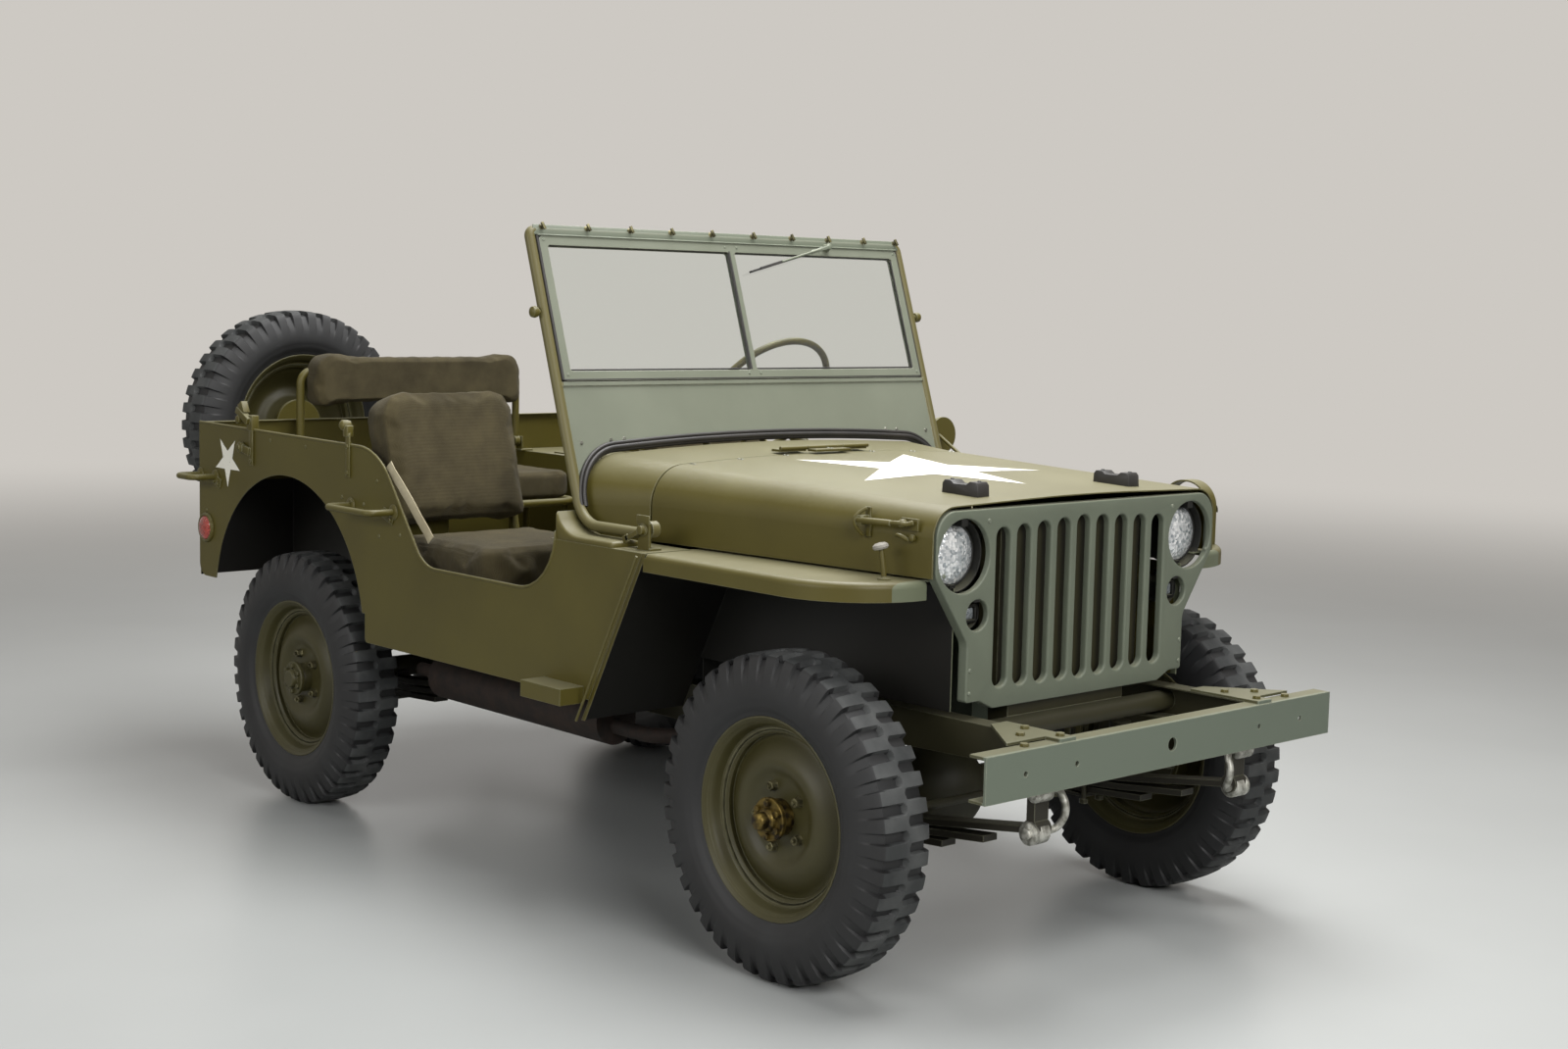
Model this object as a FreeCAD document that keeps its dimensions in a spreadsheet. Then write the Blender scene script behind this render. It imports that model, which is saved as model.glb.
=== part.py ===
"""Open army 4x4 car: a flat-grille field car with a folding windshield, three seats and a spare.

Frame of the model: +X forward, +Y to the driver's left, +Z up, millimetres.
The origin is on the ground, half way between the bumper's face and the back of the spare tyre.
"""
import FreeCAD, Part
import math
import os
import Sketcher
from FreeCAD import Placement, Rotation, Vector

doc = FreeCAD.newDocument("field_car")

# ---------------------------------------------------------------- driving dimensions
# Columns: alias, value in mm (or degrees, or a count), what it measures.
SIZES = [
    ("wheelbase", 2032, "axle to axle"),
    ("frontOverhang", 540, "front axle to bumper face"),
    ("rearOverhang", 787, "rear axle to the back of the spare tyre"),
    ("track", 1245, "tyre centre to tyre centre"),
    ("tyreRadius", 360, "to the tips of the lugs"),
    ("tyreWidth", 162, "across the sidewalls"),
    ("treadWidth", 134, "across the lugs"),
    ("lugDepth", 11, "height of the tread lugs"),
    ("lugCount", 26, "lugs round each shoulder"),
    ("rimLip", 223, "radius of the rim's lip"),
    ("rimSeat", 203, "radius of the bead seat"),
    ("rimWell", 184, "radius of the drop centre"),
    ("rimHalf", 64.5, "wheel centre to the outside of a lip"),
    ("rimWall", 5, "rolled steel of rim and disc"),
    ("discOffset", 22, "wheel centre to the bolting face"),
    ("drumRadius", 126, "brake drum"),
    ("drumDepth", 62, "brake drum behind the disc"),
    ("hubRadius", 42, "hub through the disc"),
    ("hubNose", 58, "hub and drive flange beyond the disc"),
    ("spindleRadius", 24, "stub axle inside the hub"),
    ("fitGap", 0.4, "running clearance of a pin or spindle"),
    ("moveGap", 5, "clearance beside a moving piece"),
    ("sheet", 3, "pressed body steel"),
    ("axleTube", 31, "radius of an axle tube"),
    ("diffRadius", 112, "radius of a differential housing"),
    ("diffOffset", 165, "differentials to the right of centre"),
    ("kingpin", 505, "centre line to kingpin"),
    ("knuckleBall", 50, "radius of the axle's ball end"),
    ("knuckleWall", 9, "wall of the knuckle's cup"),
    ("armReach", 152, "steering arm ahead of the kingpin"),
    ("tieRodRadius", 10, "track rod"),
    ("springTrack", 346, "centre line to spring"),
    ("springWidth", 44, "width of the leaves"),
    ("leafThick", 15, "thickness of one group of leaves"),
    ("springDrop", 66, "spring centre below its eyes"),
    ("eyeHeight", 375, "spring eyes above the ground"),
    ("frontSpring", 920, "front spring, eye to eye"),
    ("rearSpring", 1060, "rear spring, eye to eye"),
    ("railOuter", 371, "centre line to outside of a frame rail"),
    ("railWidth", 50, "flange of a rail"),
    ("railDepth", 96, "web of a rail"),
    ("railWall", 4, "steel of a rail"),
    ("railFront", 582, "top of the rails at the front"),
    ("bumperHalf", 600, "centre line to the bumper's end"),
    ("bumperLow", 482, "bumper's lower edge"),
    ("bumperHigh", 580, "bumper's upper edge"),
    ("bumperDepth", 45, "bumper channel"),
    ("bumperWall", 6, "steel of the bumper"),
    ("crankHole", 15, "radius of the crank hole"),
    ("lashHole", 6, "radius of the bumper's lashing holes"),
    ("lashPitch", 160, "pitch of the bumper's lashing holes"),
    ("bodyHalf", 700, "centre line to the outside of the tub"),
    ("bodyOverhang", 541.5, "rear axle to the rear panel"),
    ("sideLow", 522, "lower edge of the tub's side"),
    ("rearLow", 600, "lower edge of the rear panel"),
    ("railTop", 1064, "top edge of the tub at the rear"),
    ("sillHeight", 757, "bottom of the entry cut-out"),
    ("cutAhead", 470.5, "rear axle to the top of the cut-out's rear edge"),
    ("cutSlope", 225, "length of the cut-out's slanted rear edge"),
    ("archRadius", 425, "rear wheel arch"),
    ("archHeight", 515, "centre of the rear wheel arch above the ground"),
    ("archShift", 22, "centre of the arch behind the axle"),
    ("houseInner", 430, "centre line to a wheelhouse"),
    ("houseTop", 945, "top of the wheelhouses"),
    ("rearFloor", 616, "rear floor above the ground"),
    ("deckAhead", 472.5, "rear axle to the front edge of the rear floor"),
    ("firewallBack", 574.5, "front axle to the firewall"),
    ("tunnelHalf", 112, "half width of the cover over the gearbox"),
    ("tunnelTop", 640, "top of the cover over the gearbox"),
    ("tunnelLength", 485, "firewall to the rear end of that cover"),
    ("transferBack", 415, "firewall to the front of the transfer case"),
    ("transferLength", 240, "transfer case, front to back"),
    ("engineLength", 540, "engine block, front to back"),
    ("engineBack", 125, "firewall to the back of the engine block"),
    ("mufflerLength", 760, "exhaust muffler"),
    ("mufflerRadius", 62, "exhaust muffler"),
    ("pipeRadius", 19, "exhaust pipe"),
    ("skidDrop", 40, "skid plate below the rails"),
    ("cowlLength", 210, "firewall to the cowl's rear edge"),
    ("cutFront", 189, "firewall back to the front edge of the entry cut-out"),
    ("cowlHalf", 619, "half width of the cowl at its rear edge"),
    ("cowlCrown", 1104, "top of the cowl at its rear edge"),
    ("cowlShoulder", 120, "shoulder radius of the cowl"),
    ("hoodRearHalf", 560, "half width of the hood at the firewall"),
    ("hoodRearCrown", 1094, "top of the hood at the firewall"),
    ("hoodFrontHalf", 486, "half width of the hood at the grille"),
    ("hoodFrontCrown", 1056, "top of the hood at the grille"),
    ("hoodShoulder", 96, "shoulder radius of the hood at the firewall"),
    ("hoodFrontShoulder", 64, "shoulder radius of the hood at the grille"),
    ("hoodLow", 895, "lower edge of the hood"),
    ("blockSide", 261, "centre line to the hood's rest blocks"),
    ("crownRadius", 7600, "radius of the hood's and cowl's top"),
    ("grilleAhead", 274, "front axle to the grille's face"),
    ("grilleDepth", 26, "rolled edge of the grille"),
    ("grilleLow", 600, "lower edge of the grille"),
    ("grilleFoot", 375, "half width of the grille below the fenders"),
    ("grilleWaist", 750, "where the grille starts to widen, above the ground"),
    ("slotPitch", 67, "pitch of the grille slots"),
    ("slotWidth", 45, "width of a slot"),
    ("slotLow", 638, "bottom of the middle slot"),
    ("slotHigh", 1006, "top of the middle slot"),
    ("lampSide", 391, "centre line to a headlamp"),
    ("lampHeight", 938, "headlamp above the ground"),
    ("lampHole", 80, "radius of a headlamp's hole"),
    ("lampRadius", 66, "radius of a headlamp"),
    ("lampRecess", 40, "headlamp's rim behind the grille"),
    ("markerSide", 346, "centre line to a marker lamp"),
    ("markerHeight", 808, "marker lamp above the ground"),
    ("markerHole", 34, "radius of a marker lamp's hole"),
    ("fenderTop", 890, "top of the front fenders"),
    ("fenderLip", 42, "depth of a fender's edge"),
    ("fenderFlange", 15, "flange along the fender's slanted rear edge"),
    ("fenderRound", 14, "rounding of a fender's edge"),
    ("fenderRear", 143, "firewall to the rear corner of a fender's top"),
    ("fenderFoot", 76, "firewall back to the foot of the fender's rear plate"),
    ("apronSide", 392, "centre line to the apron inside the fender"),
    ("screenReach", 403, "firewall back to the windshield's top edge"),
    ("screenTopZ", 1636, "windshield's top edge above the ground"),
    ("screenTilt", 18.45, "windshield's lean in degrees"),
    ("screenHalf", 637, "centre line to the frame's tube"),
    ("screenTube", 13, "radius of the windshield's tube"),
    ("sashLow", 1258, "bottom of the glass sash above the ground"),
    ("pivotAhead", 99, "firewall to the windshield's pivot"),
    ("pivotZ", 937, "windshield pivot above the ground"),
    ("glassThick", 6, "laminated glass"),
    ("seatSide", 445, "centre line to a front seat"),
    ("seatWidth", 430, "front seat cushions"),
    ("seatBack", 8, "front seats' frames behind the rear floor's front edge"),
    ("seatDepth", 468, "front seats' frames, front to back"),
    ("seatHeight", 704, "front seats' frames above the ground"),
    ("cushionThick", 108, "seat cushions"),
    ("seatLean", 14, "lean of the front seat backs in degrees"),
    ("backHeight", 470, "front seat back's hoop"),
    ("seatTube", 12, "radius of the seats' tubes"),
    ("benchHalf", 372, "half width of the rear bench"),
    ("benchBack", 464.5, "rear axle to the bench back's hoop"),
    ("benchTop", 1256, "top of the bench back"),
    ("benchSeat", 812, "bench frame above the ground"),
    ("wheelRimRadius", 208, "steering wheel"),
    ("wheelRimTube", 10, "radius of the steering wheel's rim"),
    ("wheelSide", 345, "centre line to the steering column"),
    ("wheelBack", 615, "firewall to the steering wheel's centre"),
    ("wheelZ", 1182, "steering wheel's centre above the ground"),
    ("columnTilt", 35, "steering column's slope in degrees"),
    ("columnRadius", 20, "steering column's tube"),
    ("gripReach", 87.5, "hand grips and mirror beyond the tub's side"),
    ("stepReach", 70, "entry steps beyond the tub's side"),
    ("mirrorRadius", 52, "round mirror"),
    ("mirrorHeight", 1092, "mirror above the ground"),
    ("guardHeight", 156, "lamp guard above the fender"),
    ("guardWidth", 38, "strap of the lamp guard"),
    ("blackoutRadius", 44, "blackout driving lamp"),
    ("spareSide", 290, "spare wheel to the right of centre"),
    ("spareHeight", 1038, "spare wheel above the ground"),
]

sheet = doc.addObject("Spreadsheet::Sheet", "Sizes")
for row, (alias, value, meaning) in enumerate(SIZES, start=1):
    sheet.set(f"A{row}", meaning)
    sheet.set(f"B{row}", str(value))
    sheet.setAlias(f"B{row}", alias)
doc.recompute()


class Size:
    """A length with the formula that ties it to the sheet."""

    def __init__(self, value, text):
        self.value = value
        self.text = text

    def __add__(self, other):
        other = size(other)
        return Size(self.value + other.value, f"({self.text} + {other.text})")

    def __sub__(self, other):
        other = size(other)
        return Size(self.value - other.value, f"({self.text} - {other.text})")

    def __mul__(self, other):
        other = size(other)
        return Size(self.value * other.value, f"({self.text} * {other.text})")

    def __truediv__(self, other):
        other = size(other)
        return Size(self.value / other.value, f"({self.text} / {other.text})")

    def __neg__(self):
        return Size(-self.value, f"(0 - {self.text})")

    __radd__ = __add__

    def __rsub__(self, other):
        return size(other) - self

    __rmul__ = __mul__


def size(value):
    """Wrap a bare number as a Size."""
    return value if isinstance(value, Size) else Size(float(value), f"({float(value)!r})")


def trig(name, angle):
    """Sine, cosine or tangent of an angle in degrees, kept as a formula."""
    value = getattr(math, name)(math.radians(angle.value))
    return Size(value, f"{name}({angle.text} * 1 deg)")


class Sheet:
    """The sheet's rows as attributes, each a Size."""


at = Sheet()
for alias, value, meaning in SIZES:
    setattr(at, alias, Size(float(value), f"Sizes.{alias}"))

# Places that follow from the driving dimensions. The nose is set out from the front axle, the
# cowl and windshield from the firewall, and the rear of the tub and the seats from the rear axle.
bumper_face = (at.frontOverhang + at.wheelbase + at.rearOverhang) / 2
front_axle = bumper_face - at.frontOverhang
rear_axle = front_axle - at.wheelbase
wheel_side = at.track / 2
hub_height = at.tyreRadius
grille_face = front_axle + at.grilleAhead
firewall_x = front_axle - at.firewallBack
cowl_rear = firewall_x - at.cowlLength
cut_front = firewall_x - at.cutFront
fender_rear = firewall_x + at.fenderRear
fender_foot = firewall_x - at.fenderFoot
pivot_x = firewall_x + at.pivotAhead
screen_top_x = firewall_x - at.screenReach
wheel_x = firewall_x - at.wheelBack
tunnel_rear = firewall_x - at.tunnelLength
body_rear = rear_axle - at.bodyOverhang
cut_top = rear_axle + at.cutAhead
sill_rear = cut_top + at.cutSlope
floor_step = rear_axle + at.deckAhead
seat_rear = floor_step - at.seatBack
bench_back_x = rear_axle - at.benchBack
transfer_front = firewall_x - at.transferBack
transfer_rear = transfer_front - at.transferLength
body_inner = at.bodyHalf - at.sheet
wall = at.sheet
floor_top = at.sideLow + wall
rail_mid = at.sideLow
rail_rear = at.rearFloor - wall
rail_inner = at.railOuter - at.railWidth
rail_low = rail_mid - at.railDepth


# ---------------------------------------------------------------- helpers
def bind(obj, path, value):
    """Tie one property of an object to a Size."""
    obj.setExpression(path, size(value).text)


def box(name, x, y, z):
    """A block from (low, high) along each axis."""
    block = doc.addObject("Part::Box", name)
    for length, axis, (low, high) in zip(("Length", "Width", "Height"), "xyz", (x, y, z)):
        bind(block, length, size(high) - low)
        bind(block, "Placement.Base." + axis, low)
    return block


TURNS = {
    "x": Rotation(Vector(0, 1, 0), 90),
    "y": Rotation(Vector(1, 0, 0), -90),
    "z": Rotation(),
}


def rod(name, radius, start, axis, length):
    """A round bar from a start point along +X, +Y or +Z."""
    bar = doc.addObject("Part::Cylinder", name)
    bar.Placement.Rotation = TURNS[axis]
    bind(bar, "Radius", radius)
    bind(bar, "Height", length)
    for letter, place in zip("xyz", start):
        bind(bar, "Placement.Base." + letter, place)
    return bar


def ball(name, radius, centre):
    """A sphere."""
    sphere = doc.addObject("Part::Sphere", name)
    bind(sphere, "Radius", radius)
    for letter, place in zip("xyz", centre):
        bind(sphere, "Placement.Base." + letter, place)
    return sphere


def fuse(name, pieces):
    """One solid from touching pieces, or one group from pieces that stand apart."""
    joined = doc.addObject("Part::MultiFuse", name)
    joined.Shapes = pieces
    joined.Refine = True
    return joined


def cut(name, base, tool):
    """The base with the tool's space taken away."""
    result = doc.addObject("Part::Cut", name)
    result.Base = base
    result.Tool = tool
    result.Refine = True
    return result


def overlap(name, base, tool):
    """What two pieces share."""
    result = doc.addObject("Part::Common", name)
    result.Base = base
    result.Tool = tool
    return result


def mirror(name, source):
    """The same piece on the other side of the car."""
    twin = doc.addObject("Part::Mirroring", name)
    twin.Source = source
    twin.Normal = Vector(0, 1, 0)
    twin.Base = Vector(0, 0, 0)
    return twin


def pair(name, source):
    """A piece and its mirror image as one object."""
    return fuse(name, [source, mirror(name + "_twin", source)])


def place(obj, x, y, z, axis=Vector(0, 0, 1), angle=0.0):
    """Turn an object about its own origin by an angle in degrees, then move it."""
    obj.Placement = Placement(Vector(), Rotation(axis, angle))
    for letter, value in zip("xyz", (x, y, z)):
        bind(obj, "Placement.Base." + letter, value)
    return obj


def add_loop(sketch, rows, closed=True):
    """Draw one outline: rows of (u, v, corner radius), with arcs tangent to their sides."""
    rows = [(size(row[0]), size(row[1]), size(row[2] if len(row) > 2 else 0)) for row in rows]
    points = [Vector(u.value, v.value, 0) for u, v, radius in rows]
    count = len(rows)
    corners = []
    for index, (u, v, radius) in enumerate(rows):
        here = points[index]
        end = not closed and index in (0, count - 1)
        if radius.value <= 0 or end:
            corners.append((here, here, None))
            continue
        back = (points[index - 1] - here).normalize()
        ahead = (points[(index + 1) % count] - here).normalize()
        half_turn = math.acos(max(-1.0, min(1.0, back.dot(ahead)))) / 2
        reach = radius.value / math.tan(half_turn)
        middle = (back + ahead).normalize()
        centre = here + middle * (radius.value / math.sin(half_turn))
        corners.append((here + back * reach, here + ahead * reach, (centre, radius)))
    spans = count if closed else count - 1
    lines = []
    for index in range(spans):
        start = corners[index][1]
        end = corners[(index + 1) % count][0]
        lines.append(sketch.addGeometry(Part.LineSegment(start, end), False))
    for index, (u, v, radius) in enumerate(rows):
        arrive, leave, arc = corners[index]
        before = lines[index - 1] if closed or index > 0 else None
        after = lines[index] if index < spans else None
        if arc is None:
            if before is not None and after is not None:
                sketch.addConstraint(Sketcher.Constraint("Coincident", before, 2, after, 1))
            geo, end = (after, 1) if after is not None else (before, 2)
        else:
            centre, corner = arc
            left = (points[index] - arrive).cross(leave - points[index]).z > 0
            start, stop = (arrive, leave) if left else (leave, arrive)
            angles = [math.atan2(end.y - centre.y, end.x - centre.x) for end in (start, stop)]
            circle = Part.Circle(centre, Vector(0, 0, 1), corner.value)
            curve = sketch.addGeometry(Part.ArcOfCircle(circle, *angles), False)
            ends = (1, 2) if left else (2, 1)
            sketch.addConstraint(Sketcher.Constraint("Tangent", before, 2, curve, ends[0]))
            sketch.addConstraint(Sketcher.Constraint("Tangent", curve, ends[1], after, 1))
            grip = sketch.addConstraint(Sketcher.Constraint("Radius", curve, corner.value))
            sketch.setExpression(f"Constraints[{grip}]", corner.text)
            geo = sketch.addGeometry(Part.Point(points[index]), True)
            end = 1
            sketch.addConstraint(Sketcher.Constraint("PointOnObject", geo, 1, before))
            sketch.addConstraint(Sketcher.Constraint("PointOnObject", geo, 1, after))
        for kind, value in (("DistanceX", u), ("DistanceY", v)):
            grip = sketch.addConstraint(Sketcher.Constraint(kind, -1, 1, geo, end, value.value))
            sketch.setExpression(f"Constraints[{grip}]", value.text)


PLANES = {"XY": ("XY_Plane", 1), "XZ": ("XZ_Plane", -1), "YZ": ("YZ_Plane", 1)}


def sketch_on(body, name, plane, offset=0):
    """A sketch on one of the body's planes; the offset is along +Z, +Y or +X."""
    role, sign = PLANES[plane]
    sketch = body.newObject("Sketcher::SketchObject", name)
    face = [item for item in body.Origin.OriginFeatures if item.Role == role][0]
    sketch.AttachmentSupport = [(face, "")]
    sketch.MapMode = "FlatFace"
    bind(sketch, "AttachmentOffset.Base.z", size(offset) * sign)
    return sketch


def plate(name, plane, loops, low, high):
    """Outlines pushed from low to high along the plane's axis; later loops are holes."""
    body = doc.addObject("PartDesign::Body", name)
    start = high if plane == "XZ" else low
    sketch = sketch_on(body, name + "_outline", plane, start)
    for rows in loops:
        add_loop(sketch, rows)
    pad = body.newObject("PartDesign::Pad", name + "_pad")
    pad.Profile = sketch
    bind(pad, "Length", size(high) - low)
    return body


def turned(name, rows):
    """An outline of (along the axis, radius) revolved about the Y axis."""
    body = doc.addObject("PartDesign::Body", name)
    sketch = sketch_on(body, name + "_outline", "YZ")
    add_loop(sketch, rows)
    turn = body.newObject("PartDesign::Revolution", name + "_turn")
    turn.Profile = sketch
    turn.ReferenceAxis = (sketch, ["H_Axis"])
    turn.Angle = 360
    return body


def pipe(name, plane, offset, rows, radius, closed=False):
    """A bent round tube along a path with rounded corners."""
    body = doc.addObject("PartDesign::Body", name)
    path = sketch_on(body, name + "_path", plane, offset)
    add_loop(path, rows, closed)
    doc.recompute()
    ring = body.newObject("Sketcher::SketchObject", name + "_ring")
    ring.AttachmentSupport = [(path, "Edge1")]
    ring.MapMode = "NormalToEdge"
    circle = ring.addGeometry(Part.Circle(Vector(), Vector(0, 0, 1), size(radius).value), False)
    ring.addConstraint(Sketcher.Constraint("Coincident", circle, 3, -1, 1))
    grip = ring.addConstraint(Sketcher.Constraint("Radius", circle, size(radius).value))
    ring.setExpression(f"Constraints[{grip}]", size(radius).text)
    sweep = body.newObject("PartDesign::AdditivePipe", name + "_sweep")
    sweep.Profile = ring
    sweep.Spine = path
    return body


def rounded(name, base, radius, wanted):
    """The base with the edges that the test picks rounded off; the test sees an edge's middle."""
    doc.recompute()
    edges = [index for index, edge in enumerate(base.Shape.Edges, start=1)
             if wanted(edge.valueAt((edge.FirstParameter + edge.LastParameter) / 2))]
    soft = doc.addObject("Part::Fillet", name)
    soft.Base = base
    soft.Edges = [(index, radius, radius) for index in edges]
    return soft


def block_loft(name, plane, stations):
    """A body lofted between outlines at stations of (offset, rows)."""
    body = doc.addObject("PartDesign::Body", name)
    sketches = []
    for index, (offset, rows) in enumerate(stations):
        sketch = sketch_on(body, f"{name}_section{index}", plane, offset)
        add_loop(sketch, rows)
        sketches.append(sketch)
    loft = body.newObject("PartDesign::AdditiveLoft", name + "_loft")
    loft.Profile = sketches[0]
    loft.Sections = sketches[1:]
    loft.Ruled = True
    return body


NODES = {}


def node(name, obj):
    """Name a finished piece: the label is its file's name."""
    obj.Label = name
    NODES[name] = obj
    return obj


# ---------------------------------------------------------------- wheels and tyres
rim_inside = at.rimHalf - at.rimWall
well_inside = at.rimWell - at.rimWall
spindle_bore = at.spindleRadius + at.fitGap
disc_back = at.discOffset
disc_front = at.discOffset + at.rimWall
nose_end = at.discOffset + at.hubNose


def dished(path, wall):
    """A pressed disc: a path of (along the axis, radius, corner) given a wall outward."""
    outer = [(a + wall, radius, corner) for a, radius, corner in path]
    return outer + list(reversed(path))


def rim_rows():
    """The rim's section: two lips, two bead seats and a drop centre."""
    seat, well, lip = at.rimSeat, at.rimWell, at.rimLip
    outer = [
        (-at.rimHalf, lip), (-rim_inside, lip), (-rim_inside, seat), (-at.rimHalf / 2, seat),
        (-at.rimHalf / 3, well), (at.rimHalf / 3, well), (at.rimHalf / 2, seat),
        (rim_inside, seat), (rim_inside, lip), (at.rimHalf, lip),
    ]
    under = [(at.rimHalf, seat - at.rimWall), (at.rimHalf / 2 + 2, seat - at.rimWall),
             (at.rimHalf / 3 + 2, well_inside)]
    return outer + under + [(-a, radius) for a, radius in reversed(under)]


def wheel_disc(name):
    """Rim and pressed disc, standing on the origin with its outer face toward +Y."""
    rim = turned(name + "_rim", rim_rows())
    path = [
        (disc_back, at.hubRadius, 0), (disc_back, at.hubRadius + 50, 4),
        (disc_back + 9, at.hubRadius + 66, 4), (disc_back + 9, at.hubRadius + 88, 8),
        (disc_back - 12, well_inside - 14, 6), (disc_back - 12, well_inside + 1, 0),
    ]
    disc = turned(name + "_disc", dished(path, at.rimWall))
    return [rim, disc]


def hub_rows():
    """Brake drum, hub and drive flange, bored for the stub axle."""
    drum_back = disc_back - at.drumDepth
    return [
        (drum_back, spindle_bore), (nose_end - 22, spindle_bore), (nose_end - 22, 0), (nose_end, 0),
        (nose_end, 22, 4), (nose_end - 14, 24), (nose_end - 14, at.hubRadius - 5),
        (nose_end - 26, at.hubRadius - 5), (nose_end - 26, at.hubRadius - 12),
        (disc_front + 6, at.hubRadius - 12), (disc_front + 6, at.hubRadius), (disc_back, at.hubRadius),
        (disc_back, at.drumRadius - 12), (disc_back - 10, at.drumRadius), (drum_back, at.drumRadius),
    ]


def tyre_rows():
    """The tyre's section round the rim, out to the lugs' tips."""
    half, tread, top = at.tyreWidth / 2, at.treadWidth / 2, at.tyreRadius
    side = [
        (rim_inside, at.rimSeat, 0), (rim_inside, at.rimLip, 0), (at.rimHalf, at.rimLip + 3, 0),
        (half, at.rimLip + 44, 34), (half - 3, top - 42, 20), (tread, top - 8, 8), (tread - 14, top, 8),
    ]
    return side + [(-a, radius, corner) for a, radius, corner in reversed(side)]


def stand(obj, x, side, height, outward):
    """Put a wheel at its hub, outer face to +Y when outward is 1 and to -Y when it is -1."""
    angle = 0 if outward > 0 else 180
    return place(obj, x, size(side) * outward, height, angle=angle)


# Columns: name, hub's X, hub's side, hub's height, side of the car, road wheel or spare.
WHEELS = [
    ("front_right", front_axle, wheel_side, hub_height, -1, True),
    ("front_left", front_axle, wheel_side, hub_height, 1, True),
    ("rear_right", rear_axle, wheel_side, hub_height, -1, True),
    ("rear_left", rear_axle, wheel_side, hub_height, 1, True),
    ("spare", -bumper_face + at.tyreWidth / 2, at.spareSide, at.spareHeight, -1, False),
]
for name, x, side, height, outward, road in WHEELS:
    metal = wheel_disc("w_" + name)
    if road:
        metal.append(turned(f"w_{name}_hub", hub_rows()))
    wheel = fuse(f"w_{name}_metal", metal)
    tyre = turned(f"t_{name}_rubber", tyre_rows())
    if road:
        stand(wheel, x, side, height, outward)
        stand(tyre, x, side, height, outward)
    else:
        for piece in (wheel, tyre):
            place(piece, x, -side, height, Vector(0, 0, 1), 90)
    node("wheel_" + name, wheel)
    node("tyre_" + name, tyre)

# ---------------------------------------------------------------- axles, knuckles, steering
drum_inner = wheel_side + disc_back - at.drumDepth
plate_outer = drum_inner - at.moveGap


def spindle(name, x, start, length):
    """A stub axle along +Y in the hub's bore."""
    return rod(name, at.spindleRadius, (x, start, hub_height), "y", length)


def backing_plate(name, x):
    """The plate that closes the brake drum, on the left."""
    return rod(name, at.drumRadius - 2, (x, plate_outer - 6, hub_height), "y", 6)


def differential(name, x, nose):
    """The banjo housing with its nose pointing toward the gearbox (nose is 1 or -1)."""
    side = -at.diffOffset
    bowl = ball(name + "_bowl", at.diffRadius, (x, side, hub_height))
    start = size(x) if nose > 0 else size(x) - at.diffRadius - 78
    snout = rod(name + "_nose", 46, (start, side, hub_height), "x", at.diffRadius + 78)
    return [bowl, snout]


front_tube_end = at.kingpin - at.knuckleBall / 2
front_tube_axle = rod("fa_tube", at.axleTube, (front_axle, -front_tube_end, hub_height), "y",
                      front_tube_end * 2)
front_bowl, front_nose = differential("fa_diff", front_axle, -1)
housing = [front_tube_axle, front_bowl, front_nose]
housing.append(pair("fa_ball", ball("fa_ball_left", at.knuckleBall, (front_axle, at.kingpin, hub_height))))
node("front_axle", fuse("fa_housing", housing))

rear_tube_end = plate_outer
rear_tube_axle = rod("ra_tube", at.axleTube, (rear_axle, -rear_tube_end, hub_height), "y", rear_tube_end * 2)
rear_bowl, rear_nose = differential("ra_diff", rear_axle, 1)
housing = [rear_tube_axle, rear_bowl, rear_nose]
stub_length = nose_end + wheel_side - 26 - rear_tube_end
housing.append(pair("ra_stub", spindle("ra_stub_left", rear_axle, rear_tube_end - 10, stub_length + 10)))
housing.append(pair("ra_plate", backing_plate("ra_plate_left", rear_axle)))
node("rear_axle", fuse("ra_housing", housing))

cup_outer = at.knuckleBall + at.knuckleWall
pin_x = front_axle + at.armReach
pin_side = at.kingpin
pin_height = hub_height - 12


def knuckle():
    """The left steering knuckle: cup, kingpin caps, steering arm, backing plate and stub axle."""
    centre = (front_axle, at.kingpin, hub_height)
    shell = ball("kn_cup", cup_outer, centre)
    hollow = ball("kn_hollow", at.knuckleBall + 1, centre)
    inboard = box("kn_inboard", (front_axle - 200, front_axle + 200), (200, at.kingpin - 12),
                  (hub_height - 200, hub_height + 200))
    cup = cut("kn_shell", shell, fuse("kn_away", [hollow, inboard]))
    caps = rod("kn_caps", 27, (front_axle, at.kingpin, hub_height - cup_outer - 14), "z", (cup_outer + 14) * 2)
    caps = cut("kn_cap_pair", caps, ball("kn_core", at.knuckleBall + 3, centre))
    arm_low = pin_height - 8
    arm = plate("kn_arm", "XY", [[
        (front_axle + 30, at.kingpin + 20), (front_axle + 30, at.kingpin - 20),
        (pin_x - 10, pin_side - 16, 10), (pin_x + 16, pin_side - 16, 12),
        (pin_x + 16, pin_side + 16, 12), (pin_x - 10, pin_side + 16, 10),
    ]], arm_low, arm_low + 16)
    arm = cut("kn_arm_clear", arm, ball("kn_arm_core", at.knuckleBall + 3, centre))
    neck_start = at.kingpin + at.knuckleBall + 4
    neck = rod("kn_neck", 34, (front_axle, neck_start, hub_height), "y", plate_outer - neck_start)
    stub_end = wheel_side + nose_end - 26
    stub = spindle("kn_stub", front_axle, plate_outer - 10, stub_end - plate_outer + 10)
    pin = rod("kn_pin", 8, (pin_x, pin_side, pin_height + 8), "z", 30)
    return fuse("kn_left", [cup, caps, arm, neck, backing_plate("kn_plate", front_axle), stub, pin])


left_knuckle = node("knuckle_left", knuckle())
node("knuckle_right", mirror("kn_right", left_knuckle))

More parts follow.
